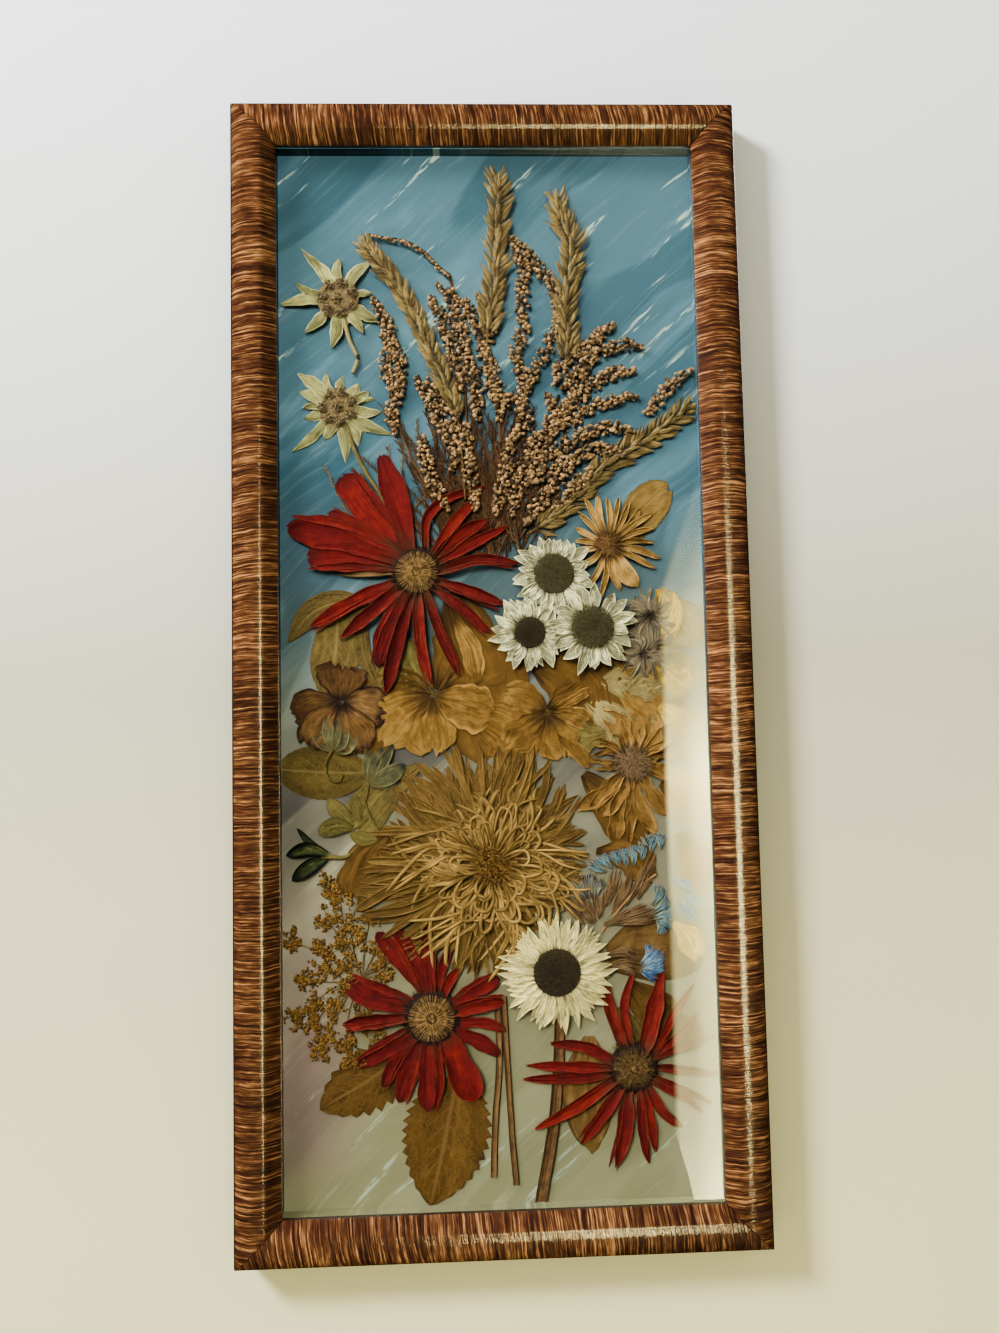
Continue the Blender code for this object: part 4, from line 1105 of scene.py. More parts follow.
def everlasting(name, finishes, middle, radius, low, rows, dimple=0.0):
    """Rows of pointed papery petals round a flat grainy disc. A row has a count, a reach and a width."""
    flower = Pressed(name, "papery_petals", finishes, thick=0.1)
    dice = flower.dice
    x, z = middle
    for number, (count, reach, width) in enumerate(rows):
        lift = low + 0.3 * number
        for i in range(count):
            turn = 360 * (i + 0.5 * (number % 2) + dice(-0.35, 0.35)) / count
            far = reach * dice(0.86, 1.08)
            flower.petal(
                middle, turn, far, lance(width * dice(0.75, 1.1), 0.48, 0.55, 1.15),
                slope(lift + 0.35, lift - 0.55 + 0.1 * number + dice(-0.2, 0.4), 0.35), start=0.86 * radius,
                bow=dice(-1.3, 1.3), along=10, across=4, roll=dice(0.5, 1.3), relief=crumple(dice, 0.35, 3.0),
            )
    top = min(low + 2.1, CEILING - 0.2)
    flower.turned(middle, (
        (0, low - 0.3), (0.9 * radius, low - 0.3), (1.0 * radius, low + 0.8), (0.96 * radius, top - 0.2),
        (0.5 * radius, top), (0, top - 0.1 - dimple),
    ), finish=1)
    for px, pz, share in swirl(560, 0.98 * radius):
        depth = top + 0.02 - 0.5 * share ** 6 - dimple * max(0.0, 1 - 3 * share)
        flower.bead((x + px, z + pz, depth), radius * dice(0.028, 0.04), finish=1)
    return flower.done()


def build_everlastings():
    paper = tissue(
        "papery_petal", (124, 116, 78), (174, 168, 130), (224, 220, 194), edge=(230, 228, 206),
        edge_start=0.86, base=(112, 104, 62), base_reach=0.4, tip=(220, 216, 190), lines=7, relief=0.2,
        rough=(0.5, 0.3), gloss=0.3,
    )
    cream = tissue(
        "cream_petal", (162, 152, 100), (202, 192, 140), (226, 218, 172), edge=(226, 220, 176),
        edge_start=0.84, base=(152, 142, 86), base_reach=0.35, tip=(222, 216, 170), lines=12, relief=0.3,
        rough=(0.5, 0.35), gloss=0.25,
    )
    olive = [paper, grain("olive_disc", (64, 58, 36), (112, 102, 66), relief=0.6)]
    dark = grain("dark_disc", (52, 42, 26), (92, 76, 50), relief=0.6)
    everlasting("everlasting_top", olive, (24.0, -154.0), 7.9, layer(3),
                ((20, 16.4, 5.2), (18, 14.8, 4.6), (16, 12.2, 3.8)))
    everlasting("everlasting_left", [paper, dark], (14.0, -177.0), 6.1, layer(4),
                ((19, 15.6, 4.9), (17, 13.8, 4.3), (15, 11.2, 3.5)), 0.35)
    everlasting("everlasting_right", olive, (38.5, -175.5), 8.4, layer(5), ((17, 18.4, 5.4), (16, 15.8, 4.7)))
    everlasting("everlasting_large", [cream, dark], (21.5, -307.0), 9.2, layer(3),
                ((42, 22.4, 3.9), (40, 20.2, 3.5), (36, 17.4, 3.3), (30, 14.5, 3.0)), 0.3)


STRAW_PETALS = (
    (20, 20, 3), (35, 22, 3.2), (47, 20, 3.5), (62, 19, 2.6), (75, 20, 2.6), (88, 19, 2.8), (99, 21, 3.5),
    (113, 21, 3), (130, 17, 2.8), (150, 14, 3), (170, 13, 2.8), (187, 12, 3), (215, 14, 3), (245, 17, 3),
    (261, 20, 3), (285, 18, 4), (306, 20, 7.5), (334, 21, 3), (346, 21, 3.5), (4, 18, 3),
)
BROWN_DISC_PETALS = (
    (10, 23, 7), (40, 21, 8), (68, 22, 8.5), (92, 22, 9), (118, 22, 9), (150, 20, 5), (166, 15, 2.2),
    (176, 15, 2.2), (188, 15, 2.2), (216, 27, 8), (228, 24, 6), (238, 28, 7), (254, 30, 7), (270, 28, 7),
    (285, 28, 7), (305, 27, 7), (340, 23, 7),
)


def bristled(flower, middle, radius, low, count, lean, finish):
    """A disc of bristles that stand up and lean outwards."""
    x, z = middle
    dice = flower.dice
    top = min(low + 2.2, CEILING - 0.1)
    flower.turned(middle, (
        (0, low - 0.4), (0.85 * radius, low - 0.4), (0.92 * radius, low + 0.5), (0.55 * radius, top - 0.8),
        (0, top - 0.8),
    ), finish=finish)
    for px, pz, share in swirl(count, 0.9 * radius):
        way = Vector((px, pz)) * lean / radius + Vector((dice(-0.6, 0.6), dice(-0.6, 0.6)))
        start = (x + px, z + pz, top - 0.9 - 0.7 * share ** 3)
        end = (x + px + way.x, z + pz + way.y, start[2] + dice(0.5, 1.0) - 0.4 * share)
        flower.spike(start, end, 0.2, 0.1, finish=finish)


def build_straw_and_brown_flowers():
    folded = tissue("folded_straw_petal", (120, 88, 36), (168, 136, 70), (204, 176, 110),
                    edge=(212, 188, 124), base=(92, 62, 34), edge_start=0.85, base_reach=0.4)
    hairy = grain("hairy_brown", (88, 60, 30), (166, 128, 76))
    straw = Pressed("straw_daisy", "straw_petals", [folded, hairy])
    for turn, reach, width in STRAW_PETALS:
        straw.petal(
            (45.5, -143.0), turn, reach, lance(width, 0.6, 0.5, 0.5), slope(layer(2) + 0.6, layer(1), 0.4),
            start=2.5, bow=straw.dice(-1.2, 1.2), roll=0.4 if width > 6 else 1.3,
            relief=crumple(straw.dice, 0.7, 4.0), torn=uneven_tip(straw.dice, 1.2, 0.6),
        )
    bristled(straw, (45.5, -143.0), 4.8, layer(2), 150, 2.2, 1)
    straw.done()

    golden = tissue("golden_brown_petal", (116, 84, 36), (158, 122, 58), (188, 154, 88),
                    edge=(184, 150, 86), base=(100, 72, 42), edge_start=0.86, mottle=260, relief=0.8)
    grey = grain("grey_brown_bristle", (88, 68, 46), (164, 136, 98))
    brown = Pressed("brown_disc_flower", "golden_petals", [golden, grey])
    for turn, reach, width in BROWN_DISC_PETALS:
        dice = brown.dice
        brown.petal(
            (53.0, -228.0), turn + dice(-4, 4), reach * dice(0.85, 1.08),
            ragged(dice, lance(width * dice(0.7, 1.1), 0.65, 0.3, 0.5, 0.15), 0.25, 5.0),
            slope(layer(1) + 0.5, layer(0), 0.3), start=3.0, bow=dice(-3, 3), along=20, across=8,
            roll=dice(0.2, 1.2), relief=crumple(dice, 0.9, 4.5, 4.0), torn=uneven_tip(dice, 1.8, 1.0, 3.5),
        )
    bristled(brown, (53.0, -228.0), 8.0, layer(1), 320, 1.8, 1)
    brown.done()


# The chrysanthemum's outer straps in sectors: directions from and to, count, shortest and longest reach
# and width
STRAP_SECTORS = (
    (56, 126, 72, 30, 49, 2.8), (126, 172, 48, 30, 51, 3.1), (172, 204, 32, 34, 56, 3.6),
    (204, 238, 32, 30, 52, 3.0), (238, 292, 54, 28, 44, 2.5), (292, 340, 34, 22, 35, 2.2),
    (340, 380, 34, 22, 38, 2.2), (18, 60, 46, 26, 44, 2.4),
)


def build_chrysanthemum():
    """Long flat straps, then thinner channelled ones that stray and hook, round a seedy core."""
    middle = Vector((-2.5, -266.5))
    broad = tissue("golden_brown_strap", (92, 66, 24), (122, 92, 38), (152, 122, 62),
                   edge=(156, 126, 66), base=(90, 66, 26), lines=6, edge_start=0.76, relief=0.3)
    pale = tissue("straw_strap", (126, 98, 44), (168, 138, 74), (200, 172, 104),
                  edge=(116, 90, 42), base=(126, 96, 42), lines=5, edge_start=0.72, relief=0.3)
    core = grain("gold_core", (84, 58, 20), (166, 128, 58))
    flower = Pressed("chrysanthemum", "straw_petals", [broad, pale, core])
    dice = flower.dice
    for start, end, count, near, far, width in STRAP_SECTORS:
        for i in range(count):
            turn = start + (end - start) * (i + dice.random()) / count
            high = layer(0.6) + dice(0.0, 1.4)
            flower.petal(middle, turn, dice(near, far), lance(width * dice(0.6, 1.1), 0.75, 0.4, 0.35),
                         slope(high + 0.6, high - 0.7, 0.5), start=dice(7, 13), bow=dice(-5, 5), along=13,
                         across=3, roll=dice(0.1, 1.1), relief=crumple(dice, 0.6, 4.0, 0.5))
    strays, curls = 210, 46
    for i in range(strays):
        stray_strap(flower, middle, tau * (i + dice.random()) / strays, dice)
    for _ in range(curls):
        curled_strap(flower, middle, dice)
    for px, pz, share in swirl(240, 1.0):
        spot = middle + Vector((6.4 * px + 0.5, 7.6 * pz))
        flower.bead((spot.x, spot.y, layer(3) + 1.2 - 0.9 * share ** 2), dice(0.3, 0.55), finish=2)
    flower.turned(
        middle, ((0, REST), (11, REST), (12, layer(1)), (7, layer(3)), (0, layer(3) + 0.7)), finish=2,
    )
    flower.done()


def stray_strap(flower, middle, turn, dice):
    """A thin channelled strap that leaves the core and wanders to either side."""
    out = heading(turn)
    side = out.orthogonal()
    lower = 0.5 - 0.5 * sin(turn)
    reach = dice(10, 22 + 8 * lower)
    start = middle + out * dice(5, 14)
    swing = 1.6 * noise.noise(Vector((2.4 * out.x, 2.4 * out.y, reach / 15)))
    drift = [swing * reach * (k / 3) ** 2 + dice.gauss(0, 0.05) * reach * k for k in range(4)]
    line = [start + out * reach * k / 3 + side * drift[k] for k in range(4)]
    if dice.random() < 0.35:
        line.append(line[-1] + side * copysign(2.4, swing) - out * dice(-1, 1.5))
    low = layer(1.7) + dice(0.0, 1.8)
    flower.sheet(line, lance(dice(1.3, 2.0), 0.7, 0.6, 0.35), slope(low + 0.6, low - 0.3, 0.7),
                 along=15, across=3, roll=dice(-1.3, -0.7), finish=1)


def curled_strap(flower, middle, dice):
    """A strap that leaves the core and turns back on itself in a loop."""
    turn = dice(0, tau)
    out = heading(turn)
    side = out.orthogonal() * dice.choice((-1, 1))
    start = middle + out * dice(5, 14)
    reach, wide = dice(5, 14), dice(2, 6)
    line = [start, start + out * reach * 0.6 + side * wide * 0.2, start + out * reach + side * wide * 0.8,
            start + out * reach * 0.85 + side * wide * 1.7, start + out * reach * 0.4 + side * wide * 1.8]
    low = layer(3) + dice(0.2, 1.6)
    flower.sheet(line, lance(dice(1.3, 1.8), 0.6, 0.6, 0.3), slope(low, low + 0.4, 0.6), along=16,
                 across=3, roll=-1.0, finish=1)


EDELWEISS_UPPER = (
    (10, 14, 4), (49, 21, 5), (68, 13, 3.5), (87, 17, 5), (116, 17, 5), (125, 25, 4), (158, 18.5, 4),
    (176, 16, 4), (185, 23, 5), (225, 19, 5), (262, 20, 5.5), (282, 13, 4), (306, 17, 5), (330, 18, 6),
)
EDELWEISS_LOWER = (
    (355, 17, 5), (14, 15, 4), (28, 14, 5), (50, 13, 5), (82, 13, 4), (108, 15, 4), (138, 21, 6),
    (156, 17, 5.5), (180, 14, 4), (197, 14, 5), (224, 25, 4.5), (246, 14, 5), (277, 22, 5.5), (298, 17, 5),
    (316, 15, 4), (333, 24, 4.5),
)


def edelweiss(name, finishes, middle, low, bracts, stem):
    """A star of woolly bracts round several heads of curled florets."""
    flower = Pressed(name, "edelweiss_wool", finishes, thick=0.35)
    dice = flower.dice
    for turn, reach, width in bracts:
        flower.petal(middle, turn, reach, ragged(dice, lance(0.92 * width, 0.42, 0.6, 1.0), 0.14, 5.0),
                     slope(low + 0.5, low - 0.2, 0.3), start=4.5, bow=dice(-1.6, 1.6), roll=dice(-0.9, 1.2),
                     relief=crumple(dice, 0.5, 3.5, ridge=0.3))
    flower.turned(
        middle, ((0, low - 0.3), (7.6, low - 0.3), (8.2, low + 0.5), (5, low + 1.1), (0, low + 1.2)),
        finish=1,
    )
    heads = [(0.0, 0.0, 3.2)] + [
        (5.9 * cos(0.4 + k * tau / 7), 5.9 * sin(0.4 + k * tau / 7), 2.9) for k in range(7)
    ]
    for px, pz, size in heads:
        for _ in range(64):
            turn, tilt = dice(0, tau), dice(0.1, 1.05)
            out = heading(turn) * size * tilt
            swing = out.orthogonal() * dice(-0.5, 0.5)
            x, z = middle[0] + px, middle[1] + pz
            high = low + 1.0 + 1.5 * (1 - tilt * tilt)
            start = (x + 0.3 * out.x, z + 0.3 * out.y, low + 1.0)
            bent = (x + 0.8 * out.x, z + 0.8 * out.y, high)
            end = (x + out.x + swing.x, z + out.y + swing.y, high - dice(0.1, 0.5))
            flower.stalk([start, bent, end], 0.19, count=4, sides=4)
    flower.stalk(lying(stem, low + 0.2), lambda u: 0.95 - 0.15 * u, count=14, sides=7, finish=2)
    return flower.done()


def build_edelweiss():
    wool = tissue("woolly_bract", (112, 106, 60), (160, 154, 98), (194, 188, 132), edge=(204, 200, 150),
                  base=(118, 110, 62), edge_start=0.78, lines=14, rough=(0.9, 0.8), sheen=0.15)
    florets = grain("woolly_floret", (84, 66, 36), (176, 154, 106), rough=0.85, sheen=0.1)
    stalk = grain("woolly_stem", (112, 102, 60), (172, 160, 108), rough=0.85)
    finishes = [wool, florets, stalk]
    edelweiss("edelweiss_upper", finishes, (-59.0, -43.0), layer(2), EDELWEISS_UPPER,
              [(-57.5, -48), (-54.5, -60), (-51.5, -67), (-53.5, -73)])
    edelweiss("edelweiss_lower", finishes, (-59.5, -86.5), layer(0) + 0.3, EDELWEISS_LOWER,
              [(-56, -94), (-53, -104), (-49, -112), (-44, -120), (-41, -126)])


# ---- Grasses and sprays of seeds ----

# The ears: name, length of the head, how wide it spreads, layer, and a line from the tip down
EARS = (
    ("grass_ear_left", 78, 1.0, 2, (-48, -21), (-43, -27.5), (-37, -35.5), (-31.5, -44), (-27, -54),
     (-23, -63.5), (-19, -72.5), (-15.5, -81.5), (-13, -88.5), (-11.5, -100), (-10, -124)),
    ("grass_ear_centre", 66, 1.35, 2, (4.8, 6), (5.5, -2), (4.5, -18.5), (3.5, -35), (1, -51.5),
     (-0.5, -62)),
    ("grass_ear_right", 66, 1.15, 2, (29.3, -3), (30.5, -10), (34, -19.5), (34, -29), (32, -41),
     (31.5, -51.5), (32, -61.5), (30, -74)),
    ("grass_ear_leaning", 78, 1.15, 0, (79, -88), (74, -92), (66, -98), (59, -102.5), (51.5, -106.5),
     (43.5, -112.5), (35.5, -121.5), (27, -129), (19, -135), (14, -137.5)),
)


def build_grass_ears():
    """Ears of overlapping husks that lean to the tip, with a thin stem below."""
    husk = tissue("husk", (88, 68, 28), (132, 108, 54), (174, 150, 88), edge=(186, 166, 106),
                  base=(84, 64, 26), lines=6, gloss=0.15, base_reach=0.4)
    stalk = grain("grass_stalk", (104, 78, 40), (172, 142, 88))
    for name, head, spread, number, *line in EARS:
        ear = Pressed(name, "grass_straw", [husk, stalk], thick=0.12)
        dice = ear.dice
        total = sum(dist(a, b) for a, b in zip(line, line[1:]))
        low = layer(number)
        ear.stalk(lying(line, low + 0.4), 0.5, count=30)
        pitch = 2.1
        steps = round(head / pitch)
        places = stations(line, round(total / pitch))
        for i in range(min(steps, len(places) - 1), -1, -1):
            spot, way = places[i]
            tip = min(1.0, 0.45 + i * pitch / 16)
            side_way = way.orthogonal()
            for side in (-1, 1, 0):
                lean = radians(dice(18, 40)) * (side or dice(-0.6, 0.6)) * min(spread, 1.2)
                out = Matrix.Rotation(lean, 2) @ (-way)
                start = spot - side_way * side * 0.7 * tip
                long = dice(5.2, 8.0) * (0.6 + 0.4 * tip) * min(spread, 1.15)
                high = low + (0.9 if side else 1.4) + dice(-0.3, 0.5)
                wide = dice(1.6, 2.4) * (0.7 + 0.3 * tip)
                bent = start + out * long * 0.5 - side_way * side * 0.5
                ear.sheet([start, bent, start + out * long], lance(wide, 0.42, 0.4, 1.0),
                          slope(high, high + dice(-0.2, 0.6), 0.5), along=7, across=3, roll=-1.1)
                if dice.random() < 0.6:
                    grow = start + out * long * 0.8
                    end = start + out * (long + dice(1.0, 3.0))
                    ear.spike((grow.x, grow.y, high + 0.2), (end.x, end.y, high + 0.3), 0.11)
        ear.done()


# The sprays of seeds. The first line of each runs from the tip down to the gathered stems and the others
# are its seeded branches. The edge's spray shows a branch alone, and the arch's first branch carries its
# seeds along one flank
SPRAYS = {
    "seed_spray_arch": (
        [(-14.5, -33), (-12, -48), (-10, -66), (-9, -90), (-8, -112), (-6, -144)],
        [(-47.5, -16), (-40, -17.5), (-32, -19), (-24.5, -23.5), (-18.5, -30), (-14.5, -33)],
        [(-19.5, -37.5), (-14.5, -41.5), (-11.5, -51.5), (-8.5, -65.5), (-5.5, -77.5), (-4.5, -92)],
        [(-22, -42), (-19, -50), (-15, -60), (-13, -70), (-11, -80)],
        [(-9, -94), (-9, -106), (-7, -118), (-6, -128)],
    ),
    "seed_spray_left": (
        [(-38, -80), (-36, -92), (-32, -104), (-26, -116), (-19, -130), (-14, -140)],
        [(-45.5, -43), (-40.5, -52), (-38, -61.5), (-41, -70.5), (-38, -80)],
        [(-42, -58), (-36.5, -63), (-35, -70), (-36, -78)],
        [(-33.5, -74.5), (-36, -81.5), (-38.5, -89), (-37, -97)],
    ),
    "seed_spray_inner_left": (
        [(-15, -112), (-14, -120), (-12, -130), (-10, -142)],
        [(-28.5, -75.5), (-25, -82), (-21, -89.5), (-17, -98), (-13.5, -105), (-15, -112)],
        [(-24, -76), (-20, -83), (-14, -91), (-12, -100), (-14, -108)],
        [(-27, -98), (-25, -109), (-21, -120), (-17, -128)],
    ),
    "seed_spray_tall": (
        [(4, -92), (4, -108), (1, -124), (-1, -146)],
        [(-3.5, -41.5), (2, -52), (-1, -63.5), (4.5, -81.5), (4, -92)],
        [(-12.5, -43), (-7, -47), (-3, -55.5), (-1.5, -65.5), (0.5, -76), (3, -86)],
        [(0.5, -82), (6.5, -84), (12.5, -86), (15, -92), (9, -100)],
        [(9, -98), (7, -109), (4, -121), (2, -130)],
    ),
    "seed_spray_centre": (
        [(12.5, -88), (9, -100), (6, -114), (4, -128), (3, -142)],
        [(10.5, -17.5), (15, -29.5), (14, -43.5), (14.5, -54), (10.5, -67.5), (14, -76), (12.5, -88)],
        [(14, -20.5), (20, -29.5), (27, -39), (29, -51.5), (24.5, -61.5), (20, -70), (15, -80)],
        [(18, -98), (14, -110), (10, -121), (8, -131)],
    ),
    "seed_spray_right": (
        [(28, -82), (23, -94), (18, -106), (12, -120), (7, -134), (7, -144)],
        [(50, -54), (45, -58), (40, -62), (35, -64.5), (30, -68.5), (26, -78)],
        [(61, -63), (55, -62), (48, -64), (41.5, -67), (36, -73), (29, -80)],
        [(58, -73), (52, -73), (44.5, -76), (38.5, -81), (32, -86), (26, -90)],
        [(58.5, -83.5), (53, -83.5), (46.5, -85), (39.5, -88), (33, -92), (24, -96)],
        [(56.5, -97.5), (50, -95.5), (43, -96.5), (36.5, -98.5), (30.5, -102), (20, -108)],
        [(52.5, -106.5), (46, -104.5), (39.5, -105), (33.5, -107.5), (25, -112), (14, -118)],
        [(45, -55.5), (41, -64.5), (36.5, -74.5), (33, -83.5), (28, -92), (24, -100)],
        [(23.5, -82), (25, -90), (22, -99), (20, -107), (15, -116)],
        [(33, -108), (26, -118), (18, -127), (13, -134)],
        [(40, -112), (32, -120), (25, -128)],
    ),
    "seed_spray_edge": (
        [],
        [(81, -73), (75, -76.5), (70, -81), (65, -87.5), (62, -90)],
    ),
}


def seeded_branch(spray, line, one_flank):
    """A twig along the line, clustered with seeds on short stalks, or with a row of them on one flank."""
    dice = spray.dice
    low = layer(0) + 0.4 + dice(0, 0.6)
    spray.stalk(lying(line, low + 0.3), lambda u: 0.3 + 0.2 * u, count=22)
    total, pitch = sum(dist(a, b) for a, b in zip(line, line[1:])), 1.15
    for i, (spot, way) in enumerate(stations(line, round(total / pitch))):
        flank = way.orthogonal()
        wide = min(2.8, 1.0 + 0.3 * i) * min(1.0, 0.3 + (total - i * pitch) / 10)
        for _ in range(2 if one_flank else 4):
            out = -dice(0.4, 1.5) if one_flank else dice(-1, 1) * wide
            place = spot + flank * out + way * dice(-0.6, 0.6)
            size = dice(0.55, 0.75) if one_flank else dice(0.62, 0.98)
            depth = low + size * 0.6 + dice(0.0, 1.7) * (1 - 0.5 * abs(out) / 3)
            spray.spike((spot.x, spot.y, low + 0.3), (place.x, place.y, depth), 0.16, 0.12, sides=3, finish=1)
            spray.bead((place.x, place.y, depth), (size, size * 0.9, size * 0.85), cuts=2)
            # A dark cap on some seeds: the capsule's own dark inside, with painted shade of its opening
            if dice.random() < 0.55:
                turn = dice(0, tau)
                spot_x = place.x + 0.35 * size * cos(turn)
                spot_z = place.y + 0.35 * size * sin(turn)
                spray.bead((spot_x, spot_z, depth + 0.62 * size), (0.4 * size, 0.3 * size, 0.25 * size),
                           finish=2)


def build_seed_sprays():
    seed = grain("seed", (76, 52, 26), (192, 160, 104), scale=600, rough=0.5, gloss=0.3)
    twig = grain("twig", (66, 42, 22), (124, 88, 52))
    # The mouths' dark colour is partly the capsules' own and partly painted shade of their openings
    shaded_mouth = grain("seed_mouth", (44, 26, 14), (88, 58, 34))
    for name, (stalk, *branches) in SPRAYS.items():
        spray = Pressed(name, "brown_seeds", [seed, twig, shaded_mouth])
        if stalk:
            spray.stalk(lying(stalk, layer(0) + 0.5), 0.55, count=24, sides=6)
        for number, line in enumerate(branches):
            seeded_branch(spray, line, one_flank=name == "seed_spray_arch" and number == 0)
        spray.done()


# ---- Broad flowers and leaves ----

# Broad petals: width, layer, finish and a line from the flower's centre to the tip
GOLDEN_LEFT = (
    (18, 0, 1, (-22, -198.5), (-16.5, -187), (-12, -173.5)),
    (19.5, 0, 1, (-19, -198.5), (-7.5, -192), (1.5, -183.5)),
    (9.5, 0, 2, (-24.5, -199.5), (-29.5, -188.5), (-35, -179)),
    (8.5, 1, 3, (-16, -170.5), (-9.5, -181), (-7, -192.5)),
    (16.5, 0, 1, (-24.5, -199.5), (-36.5, -196.5), (-49, -199)),
    (20, 0.6, 0, (-25, -201), (-37, -208), (-44.5, -218)),
    (20, 1, 0, (-24.5, -201.5), (-25.5, -212), (-24.5, -223)),
    (19.5, 1, 3, (-23, -201), (-11.5, -205), (-1, -208.5)),
)
GOLDEN_RIGHT = (
    (13, 0, 1, (34, -190), (39, -199.5), (38, -213)),
    (7, 0.4, 1, (20.5, -206.5), (26, -201), (33.5, -195.5)),
    (4, 0.8, 3, (22, -207), (30, -203.5), (37, -199.5)),
    (11.5, 0.6, 0, (20.5, -208), (13, -202.5), (4.5, -200)),
    (12.5, 0.3, 2, (43, -216.5), (36.5, -217.5), (30, -218)),
    (8, 0.8, 3, (22, -208), (30, -209.5), (37, -212)),
    (14, 0.6, 0, (20, -208.5), (12.5, -214.5), (4, -220.5)),
    (17, 1, 0, (20.5, -209.5), (23.5, -217), (25.5, -226)),
    (6, 1, 3, (23.5, -217), (31, -223), (37, -229)),
)
PALE_PETALS = (
    (14, 0.2, 0, (41.5, -196.5), (48.5, -196.5), (56, -196)),
    (13, 0.6, 0, (52, -200), (57, -198.5), (63, -198)),
    (15, 0.2, 0, (61.5, -200), (68, -198), (76, -196.5)),
    (11.5, 0, 0, (67, -220.5), (69, -213), (76.5, -207.5)),
)
PANSY = (
    (19.5, 1.0, 0, (-60, -201.5), (-59.5, -196), (-59, -188.5)),
    (17, 1.2, 0, (-60.5, -202.5), (-68.5, -204.5), (-77.5, -207.5)),
    (13, 1.4, 0, (-60.5, -203), (-67, -210), (-72.5, -218.5)),
    (17, 1.2, 1, (-58.5, -202.5), (-51.5, -204), (-42.5, -206.5)),
    (17, 1.5, 0, (-59, -203.5), (-55.5, -212), (-51.5, -221)),
)

# Petals and leaves that lie under everything else. Those of finish 5, butter yellow, and 6, pale blue,
# lie in the window's reflection
LOOSE_PETALS = (
    (36, 0, 1, (-16, -160), (-6, -188), (0, -226)),
    (30, 0, 1, (14, -186), (30, -196), (46, -214)),
    (18, 0, 2, (-42, -168), (-38, -186), (-36, -206)),
    (20, 0, 1, (-28, -196), (-42, -206), (-50, -224)),
    (17, 0.1, 4, (36, -204), (46, -212), (56, -224)),
    (18, 0, 4, (58, -180), (68, -190), (78, -200)),
    (20, 0, 4, (60, -212), (70, -216), (82, -222)),
    (20, 0, 3, (64, -236), (72, -240), (84, -246)),
    (18, 0, 1, (34, -232), (46, -246), (56, -258)),
    (16, 0, 1, (-40, -252), (-50, -262), (-56, -278)),
    (16, 0, 2, (-30, -228), (-44, -238), (-56, -252)),
    (16, 0, 4, (66, -160), (72, -170), (80, -182)),
    (18, 0, 3, (70, -256), (76, -264), (86, -276)),
    (14, 0, 1, (38, -262), (50, -264), (60, -272)),
    (22, 0.1, 0, (-14, -206), (4, -214), (12, -228)),
    (12, 0.1, 3, (44, -186), (56, -190), (66, -188)),
    (10, 0.6, 5, (65, -160.5), (68.5, -170), (69.5, -179.5)),
    (7, 0.8, 5, (71, -161.5), (72, -170), (67, -178)),
    (12, 0.5, 5, (64, -190), (70, -195), (76, -199)),
    (12, 0.5, 5, (64.5, -206), (70.5, -211.5), (75.5, -216)),
    (10, 0.5, 5, (66, -230), (71, -236), (74, -243)),
    (11, 0.5, 5, (67, -290), (73, -296), (76, -304)),
    (4, 0.6, 6, (67.5, -274), (71, -275), (75, -277)),
    (4, 0.4, 6, (72, -279.5), (75, -281.5), (79, -283)),
    (4, 0.8, 6, (69, -282), (72.5, -285), (75, -288)),
    (15, 0, 3, (48, -196), (56, -203), (66, -208)),
    (17, 0, 1, (49, -312), (56, -320), (66, -330)),
    (13, 0.1, 2, (44, -322), (49, -330), (52, -342)),
    (13, 0.1, 1, (60, -320), (68, -330), (76, -336)),
)


def broad_petals(flower, petals, fold=0.6, notch=0.6, waves=0.8):
    dice = flower.dice
    for width, number, finish, *line in petals:
        low = layer(number)
        flower.sheet(
            line, ragged(dice, lance(width, 0.72, 0.18, 0.35, 0.45), 0.1, 5.0), slope(low + 0.4, low, 0.3),
            along=30, across=20, relief=crumple(dice, fold, 4.5, 5.0, curl=dice(-0.1, 0.25)),
            torn=uneven_tip(dice, 1.8 * waves, dice(0, notch) * 2, 4.5), finish=finish,
        )


